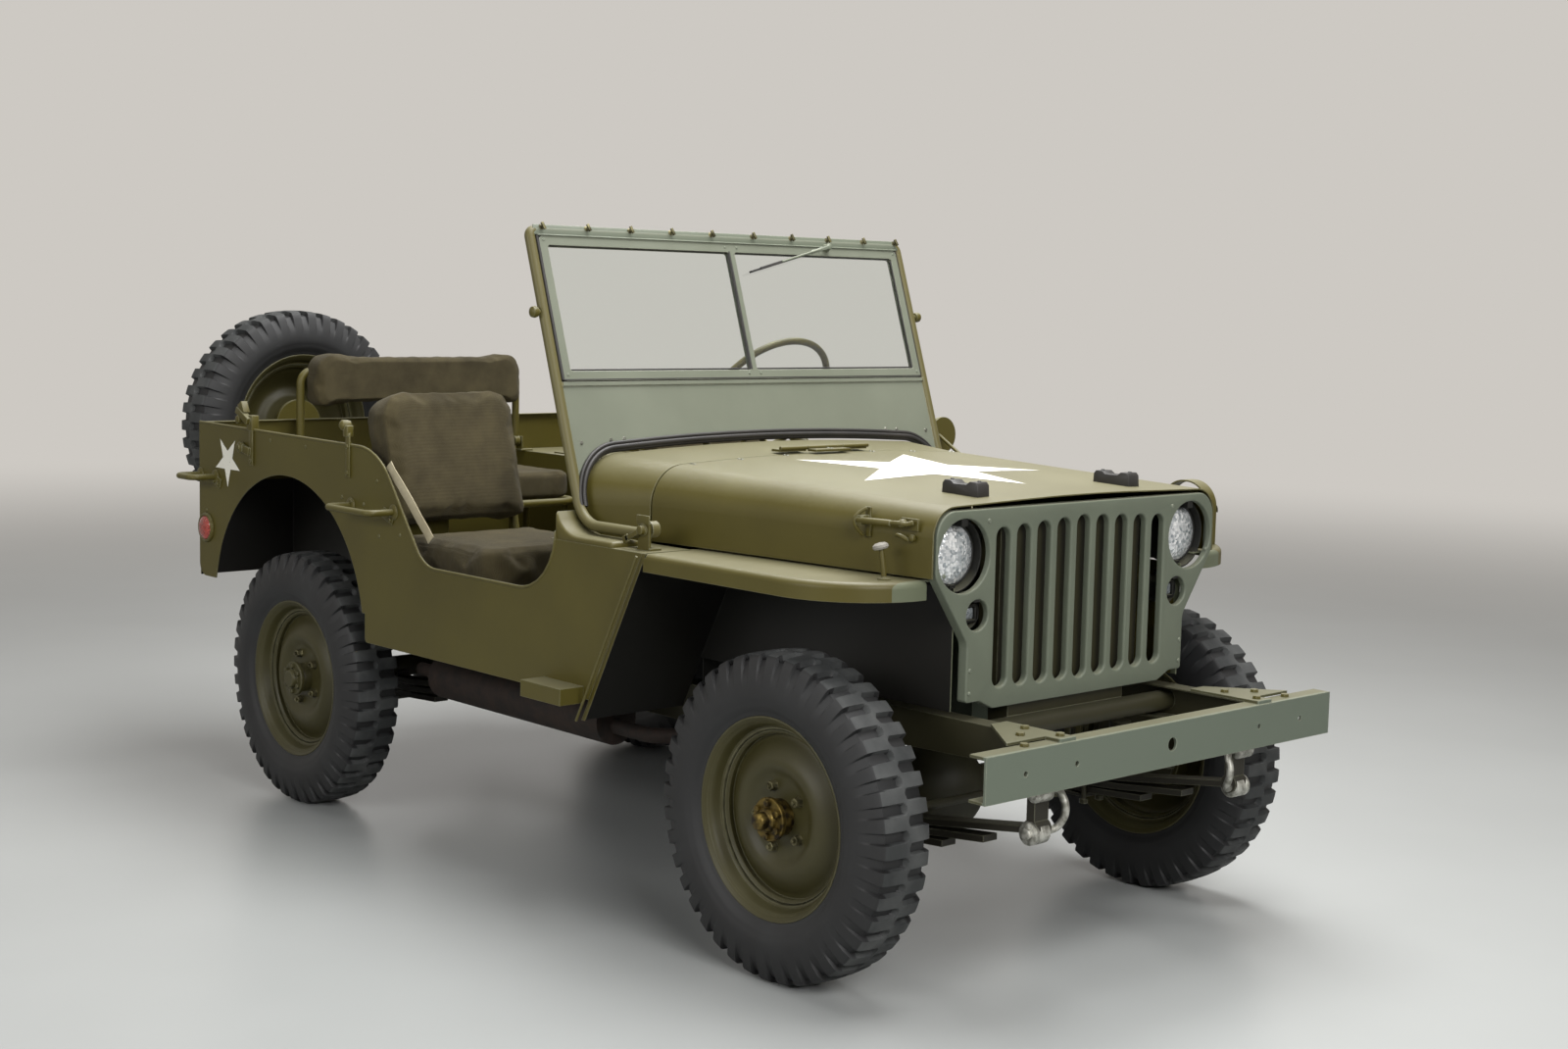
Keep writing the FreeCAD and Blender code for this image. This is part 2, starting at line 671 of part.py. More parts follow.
eye_low = pin_height + 8 + 3
eye = rod("tr_eye", 17, (pin_x, pin_side, eye_low), "z", 24)
eye = cut("tr_eye_bored", eye, rod("tr_bore", 8 + at.fitGap, (pin_x, pin_side, eye_low - 1), "z", 40))
link = rod("tr_link", at.tieRodRadius, (pin_x, -pin_side + 14, eye_low + 12), "y", (pin_side - 14) * 2)
node("tie_rod", fuse("tr_rod", [link, pair("tr_eyes", eye)]))

# ---------------------------------------------------------------- chassis frame
rail_front_end = bumper_face - at.bumperDepth


def rail_rows(drop_top, lift_bottom):
    """The rail's side view; the two arguments thin it by a wall above and below."""
    top = [
        (rail_front_end, at.railFront - drop_top), (front_axle - 380, at.railFront - drop_top, 160),
        (firewall_x + 30, rail_mid - drop_top, 160), (cut_top - 40, rail_mid - drop_top, 160),
        (body_rear + 680, rail_rear - drop_top, 160), (body_rear + 4, rail_rear - drop_top),
    ]
    depth = at.railDepth
    bottom = [
        (body_rear + 4, rail_rear - depth * 0.75 + lift_bottom),
        (body_rear + 660, rail_rear - depth + lift_bottom, 160),
        (cut_top - 60, rail_mid - depth + lift_bottom, 160),
        (firewall_x + 50, rail_mid - depth + lift_bottom, 160),
        (front_axle - 360, at.railFront - depth + lift_bottom, 160),
        (rail_front_end, at.railFront - depth * 0.75 + lift_bottom),
    ]
    return top + bottom


rail = plate("fr_rail", "XZ", [rail_rows(0, 0)], rail_inner, at.railOuter)
hollow = plate("fr_inside", "XZ", [rail_rows(at.railWall, at.railWall)], rail_inner - 10,
               at.railOuter - at.railWall)
rails = pair("fr_rails", cut("fr_channel", rail, hollow))
rail_blocks = pair("fr_blocks", rail)
web_inside = at.railOuter - at.railWall
# Columns: name, X from, X to, lower face, upper face.
CROSSMEMBERS = [
    ("middle", floor_step + 20, floor_step + 90, rail_low + 12, rail_mid - at.railWall - 6),
    ("rear", body_rear, body_rear + 84, at.rearLow - 52, at.rearLow - 2),
]
cross = [
    box("fr_" + name, (low, high), (-web_inside, web_inside), (below, above))
    for name, low, high, below, above in CROSSMEMBERS
]
front_tube = rod("fr_front_tube", 24, (grille_face - 30, -web_inside, at.railFront - 40), "y",
                 web_inside * 2)
radiator_rear, radiator_front = grille_face - 92, grille_face - 34
radiator_low = at.railFront + 30
saddle = box("fr_radiator_saddle", (radiator_rear, radiator_front), (-200, 200),
             (at.railFront - 50, radiator_low))
skid_path = [
    (-at.railOuter, rail_low), (-rail_inner, rail_low), (-rail_inner + 80, rail_low - at.skidDrop),
    (rail_inner - 80, rail_low - at.skidDrop), (rail_inner, rail_low), (at.railOuter, rail_low),
]
skid_rows = [(side, height - at.railWall) for side, height in skid_path] + skid_path[::-1]
skid = plate("fr_skid", "YZ", [skid_rows], transfer_rear + 30, transfer_front - 10)
node("chassis_frame", fuse("fr_all", [rails, front_tube, saddle, skid] + cross))


# ---------------------------------------------------------------- springs
spring_inner = at.springTrack - at.springWidth / 2
spring_outer = at.springTrack + at.springWidth / 2
spring_low = at.eyeHeight - at.springDrop
eye_radius = 21
eye_centre = at.eyeHeight + 8
hanger_half = 11
clamp_half = 46
clamp_edge = 8


def leaf(name, middle, half, level, low):
    """One group of leaves: a shallow bow between its two ends."""
    share = half / level
    rise = at.springDrop * share * share
    radius = half * half / rise * 0.4
    rows = [
        (middle - half, low + rise), (middle, low, radius), (middle + half, low + rise),
        (middle + half, low + rise + at.leafThick), (middle, low + at.leafThick, radius - at.leafThick),
        (middle - half, low + rise + at.leafThick),
    ]
    return plate(name, "XZ", [rows], spring_inner, spring_outer)


def spring(name, middle, span, hanger_tops):
    """A leaf spring under its axle with eyes, hangers, saddle and clamp (left side)."""
    half = span / 2
    pieces = []
    for index, share in enumerate((1.0, 0.72, 0.46)):
        low = spring_low - at.leafThick * index
        pieces.append(leaf(f"{name}_leaf{index}", middle, half * share, half, low))
    for end, sign, hanger_top in (("front", 1, hanger_tops[0]), ("back", -1, hanger_tops[1])):
        eye_x = middle + half * sign
        pieces.append(rod(f"{name}_{end}_eye", eye_radius, (eye_x, spring_inner, eye_centre), "y",
                          at.springWidth))
        pieces.append(box(f"{name}_{end}_hanger", (eye_x - hanger_half, eye_x + hanger_half),
                          (spring_inner, spring_outer), (eye_centre, hanger_top)))
    clamp_low = spring_low - at.leafThick * 2 - clamp_edge
    pieces.append(box(f"{name}_clamp", (middle - clamp_half, middle + clamp_half),
                      (spring_inner - clamp_edge, spring_outer + clamp_edge), (clamp_low, clamp_low + clamp_edge)))
    pieces.append(box(f"{name}_saddle", (middle - clamp_half + 6, middle + clamp_half - 6),
                      (spring_inner, spring_outer), (spring_low + at.leafThick - 1, hub_height - 8)))
    return fuse(name + "_pack", pieces)


# The hangers end in the rails and the saddles round the axle tubes, so both are cut to fit.
front_spring = spring("sf", front_axle, at.frontSpring, (at.railFront - 20, rail_mid))
rear_spring = spring("sr", rear_axle, at.rearSpring, (rail_mid - 10, rail_rear - 20))
springs = fuse("springs_all", [pair("sf_pair", front_spring), pair("sr_pair", rear_spring)])
spring_room = fuse("springs_room", [rail_blocks, cross[-1], front_tube_axle, rear_tube_axle])
node("leaf_springs", cut("springs_fit", springs, spring_room))

# ---------------------------------------------------------------- bumpers and towing gear
web = box("bu_block", (rail_front_end, bumper_face), (-at.bumperHalf, at.bumperHalf), (at.bumperLow, at.bumperHigh))
groove = box("bu_groove", (rail_front_end - 1, bumper_face - at.bumperWall),
             (-at.bumperHalf - 1, at.bumperHalf + 1),
             (at.bumperLow + at.bumperWall, at.bumperHigh - at.bumperWall))
bores = [rod("bu_crank_hole", at.crankHole, (rail_front_end, 0, (at.bumperLow + at.bumperHigh) / 2), "x", 100)]
for index, slot in enumerate((-3, -2, 2, 3)):
    spot = (rail_front_end, at.lashPitch * slot, (at.bumperLow + at.bumperHigh) / 2)
    bores.append(rod(f"bu_lash{index}", at.lashHole, spot, "x", 100))
bumper = cut("bu_bored", cut("bu_channel", web, groove), fuse("bu_bores", bores))
gusset = plate("bu_gusset", "XY", [[
    (rail_front_end - 150, at.railOuter), (rail_front_end, at.railOuter + 120), (rail_front_end, rail_inner),
    (rail_front_end - 150, rail_inner)]], at.railFront, at.railFront + 6)
horn = box("bu_horn", (rail_front_end, bumper_face - at.bumperWall + 1), (rail_inner, at.railOuter),
           (at.bumperHigh - at.bumperWall - 1, at.railFront + 6))
node("front_bumper", fuse("bu_all", [bumper, pair("bu_gussets", gusset), pair("bu_horns", horn)]))

bumperette = pipe("bt_hoop", "XY", at.rearLow - 27, [
    (body_rear, 340), (body_rear - 86, 340, 40), (body_rear - 86, 220, 40), (body_rear, 220)], 22)
hook_body = box("hook_body", (body_rear - 70, body_rear), (-48, 48), (at.rearLow - 52, at.rearLow - 2))
hook_jaw = pipe("hook_jaw", "XZ", 0, [
    (body_rear - 60, 573), (body_rear - 130, 573, 26), (body_rear - 130, 643, 26), (body_rear - 92, 643)], 15)
node("rear_bumperettes", fuse("bt_all", [pair("bt_pair", bumperette), fuse("hook", [hook_body, hook_jaw])]))

# ---------------------------------------------------------------- engine, shafts and exhaust
engine_rear = firewall_x + at.engineBack
bell_side = -130
# Columns: name, X from, X to, right side, left side, bottom, top.
ENGINE = [
    ("block", engine_rear, engine_rear + at.engineLength, -150, 160, 500, 930),
    ("bell", firewall_x + 3, engine_rear + 10, bell_side, 130, 450, 700),
    ("gearbox", transfer_front - 50, firewall_x + 10, -80, 80, 430, 610),
]
transfer = box("en_transfer", (transfer_rear, transfer_front), (-at.diffOffset - 60, 60), (rail_low - at.skidDrop, rail_mid - 3))
power = [box("en_" + name, (x0, x1), (y0, y1), (z0, z1)) for name, x0, x1, y0, y1, z0, z1 in ENGINE]
node("engine_and_gearbox", fuse("en_all", power + [transfer]))
node("radiator", box("radiator_core", (radiator_rear, radiator_front), (-240, 240), (radiator_low, 1010)))

shaft_radius = 24
shaft_high = 422
yoke_radius = 34


def prop_shaft(name, start, end, low, high):
    """A shaft leaning in the side plane, with a universal joint's ball at each end."""
    tube = pipe(name, "XZ", -at.diffOffset, [(start, low), (end, high)], shaft_radius)
    joints = [ball(f"{name}_joint_{where}", yoke_radius, (x, -at.diffOffset, z))
              for where, x, z in (("rear", start, low), ("front", end, high))]
    return [tube] + joints


# The shafts run into the transfer case and the axles' noses and are cut flush with them.
front_shaft = prop_shaft("ps_front", transfer_front, front_axle - at.diffRadius - 78, shaft_high, hub_height)
rear_shaft = prop_shaft("ps_rear", rear_axle + at.diffRadius + 78, transfer_rear, hub_height, shaft_high)
shaft_ends = fuse("ps_ends", [transfer, front_nose, rear_nose])
node("prop_shafts", cut("ps_fit", fuse("ps_all", front_shaft + rear_shaft), shaft_ends))

muffler_side, muffler_height = -at.railOuter - 100, rail_low - 11
muffler_rear = transfer_rear - 340
muffler_front = muffler_rear + at.mufflerLength
pipe_height = rail_low - at.pipeRadius - 7
riser_x, riser_side, riser_top = firewall_x + 75, -240, 520
strap_long = 30
muffler = rod("ex_muffler", at.mufflerRadius, (muffler_rear, muffler_side, muffler_height), "x", at.mufflerLength)
down_pipe = pipe("ex_pipe", "XY", pipe_height, [
    (muffler_front - 10, muffler_side), (muffler_front + 140, muffler_side, 60), (riser_x, riser_side)],
    at.pipeRadius)
riser = rod("ex_riser", at.pipeRadius, (riser_x, riser_side, pipe_height), "z", riser_top - pipe_height)
inlet = rod("ex_inlet", at.pipeRadius, (riser_x, riser_side, riser_top), "y", bell_side - size(riser_side))
elbows = [ball(f"ex_elbow{index}", at.pipeRadius + 2, (riser_x, riser_side, height))
          for index, height in enumerate((pipe_height, riser_top))]
tail_pipe = rod("ex_tail", at.pipeRadius - 1, (muffler_rear - 130, muffler_side, muffler_height), "x", 140)
straps = [box(f"ex_strap{index}", (x, x + strap_long), (muffler_side, -at.railOuter),
              (muffler_height, muffler_height + 24))
          for index, x in enumerate((muffler_rear + 130, muffler_front - 130))]
node("exhaust", fuse("ex_all", [muffler, down_pipe, riser, inlet, tail_pipe] + elbows + straps))

# ---------------------------------------------------------------- tub
cowl_low = at.fenderTop
fender_toe = at.sideLow - 52


def fender_edge(height):
    """X of the slanted rear edge of the front fenders at a height."""
    share = (size(height) - fender_toe) / (at.fenderTop - fender_toe)
    return fender_foot + (fender_rear - fender_foot) * share


arch_x = rear_axle - at.archShift
arch_front = arch_x + at.archRadius
side_rows = [
    (body_rear, at.rearLow, 40), (body_rear, at.railTop, 14), (cut_top, at.railTop - 14, 200),
    (sill_rear, at.sillHeight, 110), (cut_front, at.sillHeight, 150), (cut_front, cowl_low),
    (fender_rear, cowl_low), (fender_edge(at.sideLow), at.sideLow), (arch_front + 6, at.sideLow, 12),
    (arch_front + 6, at.rearLow),
]
tub_side = plate("ts_sheet", "XZ", [side_rows], -at.bodyHalf, -body_inner)
arch = rod("ts_arch", at.archRadius, (arch_x, -at.bodyHalf - 10, at.archHeight), "y", 40)
right_side = node("tub_side_right", cut("ts_right", tub_side, arch))
node("tub_side_left", mirror("ts_left", right_side))

front_floor = box("fl_front", (floor_step, firewall_x - 110), (-body_inner, body_inner),
                  (at.sideLow, at.sideLow + wall))
step_up = box("fl_riser", (floor_step - wall, floor_step), (-body_inner, body_inner),
            (at.sideLow, at.rearFloor))
rear_deck = box("fl_rear", (body_rear + wall, floor_step - wall), (-at.houseInner, at.houseInner),
                (at.rearFloor - wall, at.rearFloor))


def tunnel_block(name, start, end, inset, low):
    """The space of the cover over the gearbox, or its inside when inset by the wall."""
    half, top = at.tunnelHalf - inset, at.tunnelTop - inset
    rows = [(-half, low), (half, low), (half - 15, top, 20), (-half + 15, top, 20)]
    return plate(name, "YZ", [rows], start, end)


tunnel = tunnel_block("tu_skin", tunnel_rear, firewall_x - 3, 0, at.sideLow)
tunnel_room = tunnel_block("tu_room", tunnel_rear + wall, firewall_x + 10, wall, at.sideLow - 10)
node("tub_floor", cut("fl_all", fuse("fl_pieces", [front_floor, step_up, rear_deck, tunnel]), tunnel_room))

back = box("rp_sheet", (body_rear, body_rear + wall), (-body_inner, body_inner), (at.rearLow, at.railTop))
back_lip = box("rp_lip", (body_rear, body_rear + 20), (-body_inner, body_inner), (at.railTop - wall, at.railTop))
node("rear_panel", fuse("rp_all", [back, back_lip]))

house = box("wh_block", (body_rear + wall, arch_front), (-body_inner, -at.houseInner), (at.rearFloor - wall, at.houseTop))
house_room = box("wh_room", (arch_x - at.archRadius - 6, arch_front - wall), (-body_inner - 1, -at.houseInner - wall),
                 (at.rearFloor - 60, at.houseTop - wall))
locker_room = box("wh_locker", (body_rear + wall * 2, arch_x - at.archRadius - 6 - wall),
                  (-body_inner + wall, -at.houseInner - wall), (at.rearFloor, at.houseTop - wall))
house = cut("wh_right", house, fuse("wh_rooms", [house_room, locker_room]))
node("wheelhouses", pair("wh_pair", house))

# ---------------------------------------------------------------- cowl, firewall and dash


def arch_rows(half, low, crown, drop, shoulder, inset=0):
    """A section across the car: upright sides, round shoulders and a gently crowned top."""
    half, crown, shoulder = size(half) - inset, size(crown) - inset, size(shoulder) - inset
    return [
        (-half, low), (half, low), (half, crown - drop, shoulder),
        (0, crown, at.crownRadius), (-half, crown - drop, shoulder),
    ]


# Columns of a section: X, half width, crown, fall to the side, shoulder radius.
COWL = [
    (cowl_rear, at.cowlHalf, at.cowlCrown + 6, 29, at.cowlShoulder),
    (firewall_x - 3, at.hoodRearHalf, at.hoodRearCrown, 24, at.hoodShoulder),
]
HOOD = [
    (firewall_x + 3, at.hoodRearHalf, at.hoodRearCrown, 24, at.hoodShoulder),
    (grille_face - 4, at.hoodFrontHalf, at.hoodFrontCrown, 12, at.hoodFrontShoulder),
]


def arch_skin(name, sections, low, wall):
    """A pressed skin through sections, open below and at both ends."""
    outer = block_loft(name + "_outer", "YZ", [
        (x, arch_rows(half, low, crown, drop, shoulder)) for x, half, crown, drop, shoulder in sections])
    inner = block_loft(name + "_inner", "YZ", [
        (x, arch_rows(half, size(low) - 1, crown, drop, shoulder, wall))
        for x, half, crown, drop, shoulder in sections])
    return cut(name, outer, inner), outer, inner


cowl_skin, cowl_outer, cowl_inner = arch_skin("co_skin", COWL, cowl_low - wall, wall)
cowl_x, cowl_half, cowl_crown, cowl_drop, cowl_corner = COWL[1]
# Below the fenders' slanted plates the firewall is no wider than the space between the aprons.
narrow = at.apronSide - at.moveGap
narrow_top = fender_toe + (firewall_x - fender_foot) / (fender_rear - fender_foot) * (
    at.fenderTop - fender_toe) + at.moveGap
wall_rows = [
    (-narrow, floor_top), (narrow, floor_top), (narrow, narrow_top), (cowl_half, narrow_top),
    (cowl_half, cowl_crown - cowl_drop, cowl_corner), (0, cowl_crown, at.crownRadius),
    (-cowl_half, cowl_crown - cowl_drop, cowl_corner), (-cowl_half, narrow_top), (-narrow, narrow_top),
]
firewall = plate("co_firewall", "YZ", [wall_rows], firewall_x - 6, firewall_x - 3)
ledge_front = fender_edge(cowl_low - wall)
ledge = plate("co_ledge", "XY", [[
    (cowl_rear, -body_inner), (cowl_rear, -at.cowlHalf), (firewall_x - 3, -at.hoodRearHalf),
    (ledge_front, -at.hoodRearHalf), (ledge_front, -body_inner)]], cowl_low - wall, cowl_low)
toe = plate("co_toe", "XZ", [[
    (firewall_x - 110, floor_top), (firewall_x - 105, floor_top),
    (firewall_x - 4, at.sideLow + 150), (firewall_x - 8, at.sideLow + 152)]],
    -at.hoodRearHalf + 30, at.hoodRearHalf - 30)
column_slope = trig("tan", at.columnTilt)
column_z = at.wheelZ - (firewall_x - wheel_x) * column_slope
column_hole = box("co_column_hole", (firewall_x - 140, firewall_x + 20),
                  (at.wheelSide - 32, at.wheelSide + 32), (column_z - 50, column_z + 110))
cowl_away = fuse("co_away", [column_hole, tunnel_block("tu_tool", firewall_x - 130, firewall_x + 10, 0, at.sideLow)])

# The hood's hinge: outer barrels and the pin on the cowl, the middle barrel on the hood.
hinge_z = at.hoodRearCrown + 7
barrel, pin, inner_reach, outer_reach = 5, 2.6, 60, 150


def hinge_leaf(name, x, y):
    """A leaf of the hinge lying on the skin's crown."""
    return box(name, x, y, (at.hoodRearCrown - 2, at.hoodRearCrown + 4))


hinge = [rod("hi_pin", pin, (firewall_x, -inner_reach - 4, hinge_z), "y", inner_reach * 2 + 8)]
hinge.append(pair("hi_outer", fuse("hi_outer_left", [
    rod("hi_barrel", barrel, (firewall_x, inner_reach + 2, hinge_z), "y", outer_reach - inner_reach),
    hinge_leaf("hi_cowl_leaf", (firewall_x - 34, firewall_x - 2), (inner_reach + 2, outer_reach))])))
node("cowl", cut("co_all", fuse("co_pieces", [cowl_skin, firewall, pair("co_ledges", ledge), toe] + hinge),
                 cowl_away))

# The dash is cut to the inside of the cowl.
dash_sheet = box("da_sheet", (cowl_rear + 6, cowl_rear + 6 + wall), (-at.cowlHalf, at.cowlHalf),
                 (at.cowlCrown - 180, at.cowlCrown + 10))
node("dash_panel", overlap("da_fit", dash_sheet, cowl_inner))

# ---------------------------------------------------------------- fenders
apron_top = at.fenderTop - wall
apron_low = at.railFront + 18
lamp_front = grille_face - at.lampRecess
lamp_depth = 90


def outer_edge(height):
    """A test that picks the edges of a fender's top outside the hood, but not its rear end."""
    return lambda spot: (abs(spot.z - height.value) < 0.5 and spot.x > fender_rear.value + 1
                         and spot.y > at.hoodFrontHalf.value + 20)


def fender():
    """The left front fender: flat top with a deep turned edge, rear plate and inner apron."""
    nose_x, nose_side = grille_face - at.grilleDepth, at.hoodFrontHalf - 8
    nose_round = at.bodyHalf - at.hoodFrontHalf
    top_rows = [
        (fender_rear, at.hoodRearHalf - 40), (fender_rear, at.bodyHalf, 6),
        (nose_x, at.bodyHalf, nose_round), (nose_x, nose_side - 40)]
    low = at.fenderTop - at.fenderLip
    block = plate("fe_block", "XY", [top_rows], low, at.fenderTop)
    block = rounded("fe_soft", block, at.fenderRound.value, outer_edge(at.fenderTop))
    inner_rows = [
        (fender_rear - 1, at.hoodRearHalf - 60), (fender_rear - 1, at.bodyHalf - wall),
        (nose_x - wall, at.bodyHalf - wall, nose_round - wall), (nose_x - wall, nose_side),
        (nose_x + 1, nose_side), (nose_x + 1, nose_side - 60)]
    room = plate("fe_room", "XY", [inner_rows], low - 1, apron_top)
    room = rounded("fe_soft_room", room, (at.fenderRound - wall).value, outer_edge(apron_top))
    top = cut("fe_top", block, room)
    rear_plate = plate("fe_rear", "XZ", [[
        (fender_rear, at.fenderTop), (fender_foot, fender_toe), (fender_foot + 4, fender_toe),
        (fender_rear + 4, at.fenderTop)]], at.apronSide, at.bodyHalf)
    flange = plate("fe_flange", "XZ", [[
        (fender_rear, at.fenderTop), (fender_foot, fender_toe), (fender_foot + at.fenderFlange, fender_toe),
        (fender_rear + at.fenderFlange, at.fenderTop)]], at.bodyHalf - wall, at.bodyHalf)
    apron = plate("fe_apron", "XZ", [[
        (fender_edge(apron_low) + 2, apron_low), (nose_x, apron_low), (nose_x, apron_top),
        (fender_edge(apron_top) + 2, apron_top)]], at.apronSide, at.apronSide + wall)
    shelf = plate("fe_shelf", "XY", [[
        (fender_rear, at.apronSide), (fender_rear, at.hoodRearHalf), (nose_x, nose_side),
        (nose_x, at.apronSide)]], apron_top, at.fenderTop)
    pressing = fuse("fe_pressing", [top, rear_plate, flange, apron, shelf])
    lamp_room = rod("fe_lamp_room", at.lampRadius + at.moveGap, (lamp_front - lamp_depth - at.moveGap, at.lampSide,
                    at.lampHeight), "x", lamp_depth + 30)
    return cut("fe_left", pressing, lamp_room)


left_fender = node("fender_left", fender())
node("fender_right", mirror("fe_right", left_fender))

# ---------------------------------------------------------------- grille and lamps
half_top = at.hoodFrontHalf - wall - at.moveGap
top_z = at.hoodFrontCrown - 12 - wall - at.moveGap


def grille_rows(inset, corner):
    """The grille's outline, inset by a wall; the top follows the hood."""
    low, foot, waist = at.grilleLow + inset, at.grilleFoot - inset, at.grilleWaist
    side, top = half_top - inset, top_z - inset
    right = [(foot - 87, low, corner), (foot - 45, low + 20, corner), (foot, low + 20, corner / 2),
             (foot, waist, 40), (side, at.hoodLow + 2, 30), (side, top, hood_corner - inset)]
    return right + [(-u, v, radius) for u, v, radius in reversed(right)]


hood_corner = at.hoodFrontShoulder - wall - at.moveGap
slots = []
for index in range(-4, 5):
    middle = at.slotPitch * index
    edge, round_end = at.slotWidth / 2, at.slotWidth / 2 - 0.5
    lift = 1.6 * abs(index)
    low, high = at.slotLow + lift, at.slotHigh - lift * 2
    rows = [(middle - edge, low, round_end), (middle + edge, low, round_end),
            (middle + edge, high, round_end), (middle - edge, high, round_end)]
    slots.append(plate(f"gr_slot{index + 4}", "YZ", [rows], grille_face - at.grilleDepth - 1, grille_face + 1))
face = plate("gr_face", "YZ", [grille_rows(0, 16)], grille_face - at.grilleDepth, grille_face)
tray = plate("gr_tray", "YZ", [grille_rows(4, 12)], grille_face - at.grilleDepth - 1, grille_face - wall)
holes = []
for name, side, height, radius in (("lamp", at.lampSide, at.lampHeight, at.lampHole),
                                   ("marker", at.markerSide, at.markerHeight, at.markerHole)):
    hole = rod(f"gr_{name}_hole", radius, (grille_face - 40, side, height), "x", 60)
    holes.append(pair(f"gr_{name}_holes", hole))
node("grille", cut("gr_all", face, fuse("gr_away", [tray] + slots + holes)))

# Each lamp hangs from a tab behind the grille, above its hole.
lamps = []
# Columns: name, side, height, radius, hole, depth.
for name, side, height, radius, hole, depth in (
        ("head", at.lampSide, at.lampHeight, at.lampRadius, at.lampHole, lamp_depth),
        ("mark", at.markerSide, at.markerHeight, at.markerHole - 3, at.markerHole, 44)):
    bowl = rod(f"la_{name}", radius, (lamp_front - depth, side, height), "x", depth)
    tab = box(f"la_{name}_tab", (lamp_front - 20, grille_face - wall), (side - 9, side + 9),
              (height + radius - 3, height + hole + 12))
    lamps.append(pair(f"la_{name}_pair", fuse(f"la_{name}_whole", [bowl, tab])))
node("headlamps", fuse("la_all", lamps))

# ---------------------------------------------------------------- hood
hood_skin, hood_outer, hood_inner = arch_skin("ho_skin", HOOD, at.hoodLow, wall)
middle_barrel = rod("ho_barrel", barrel, (firewall_x, -inner_reach, hinge_z), "y", inner_reach * 2)
hood_leaf = hinge_leaf("ho_leaf", (firewall_x + 2, firewall_x + 34), (-inner_reach, inner_reach))
hinge_bore = rod("ho_bore", pin + at.fitGap, (firewall_x, -outer_reach, hinge_z), "y", outer_reach * 2)
node("hood", cut("ho_all", fuse("ho_pieces", [hood_skin, middle_barrel, hood_leaf]), hinge_bore))
block_top = at.hoodFrontCrown + 28
block = box("ho_block", (grille_face - 194, grille_face - 54), (at.blockSide - 22, at.blockSide + 22),
            (at.hoodFrontCrown - 20, block_top))
node("hood_blocks", cut("ho_blocks", pair("ho_block_pair", block), hood_outer))

# ---------------------------------------------------------------- windshield
tilt = at.screenTilt.value
lean = trig("tan", at.screenTilt)
slant = trig("cos", at.screenTilt)
screen_base_z = at.cowlCrown - 130
screen_base_x = screen_top_x + (at.screenTopZ - screen_base_z) * lean
screen_top = (at.screenTopZ - screen_base_z) / slant
sash_low = (at.sashLow - screen_base_z) / slant
tube = at.screenTube


def lean_back(obj):
    """Stand a piece drawn upright on the windshield's slanted plane."""
    obj.Placement = Placement(Vector(), Rotation(Vector(0, 1, 0), -tilt))
    bind(obj, "Placement.Base.x", screen_base_x)
    bind(obj, "Placement.Base.z", screen_base_z)
    return obj


hoop_side, hoop_top = at.screenHalf, screen_top - tube
hoop = pipe("ws_hoop", "YZ", 0, [
    (-hoop_side, 40), (-hoop_side, hoop_top, tube + 4), (hoop_side, hoop_top, tube + 4), (hoop_side, 40)], tube)
sill = box("ws_sill", (-10, 10), (-hoop_side, hoop_side), (sash_low - 12, sash_low - 2))
half = at.cowlHalf
cowl_room = (at.cowlCrown + 13 - screen_base_z) / slant + 6
panel_rows = [
    (-hoop_side, 30), (-half - 1, 30), (-half - 1, cowl_room - 29, 118), (0, cowl_room, at.crownRadius),
    (half + 1, cowl_room - 29, 118), (half + 1, 30), (hoop_side, 30), (hoop_side, sash_low - 10),
    (-hoop_side, sash_low - 10)]
panel = plate("ws_panel", "YZ", [panel_rows], 3, 3 + wall)
screen = lean_back(fuse("ws_upright", [hoop, sill, panel]))
arm_z = at.pivotZ - 13
arm_end_x = pivot_x - 12
arm = pipe("ws_arm", "XZ", at.screenHalf, [
    (screen_base_x - 80 * lean, screen_base_z + 80), (screen_base_x + (screen_base_z - arm_z) * lean, arm_z, 84),
    (arm_end_x, arm_z)], tube)
arm_eye = rod("ws_eye", 19, (pivot_x, at.screenHalf - tube + 2, at.pivotZ), "y", tube * 2 - 4)
arm_bore = rod("ws_arm_bore", 6 + at.fitGap, (pivot_x, at.screenHalf - 40, at.pivotZ), "y", 80)
arms = pair("ws_arms", cut("ws_arm_bored", fuse("ws_arm_eye", [arm, arm_eye]), arm_bore))
node("windshield_frame", fuse("ws_all", [screen, arms]))

sash_half = hoop_side - tube - 3
sash_top = hoop_top - tube - 3
bar = 24
sash_rows = [(-sash_half, sash_low, 10), (sash_half, sash_low, 10), (sash_half, sash_top, 16), (-sash_half, sash_top, 16)]
panes = []
for low, high in ((-sash_half + bar, -9), (9, sash_half - bar)):
    panes.append([(low, sash_low + bar, 8), (high, sash_low + bar, 8), (high, sash_top - bar, 8), (low, sash_top - bar, 8)])
sash = plate("wa_sash", "YZ", [sash_rows] + panes, -8, 12)
node("windshield_sash", lean_back(sash))
glass = []
for index, rows in enumerate(panes):
    glass.append(plate(f"wg_pane{index}", "YZ", [rows], 0, at.glassThick))
node("windshield_glass", lean_back(fuse("wg_all", glass)))

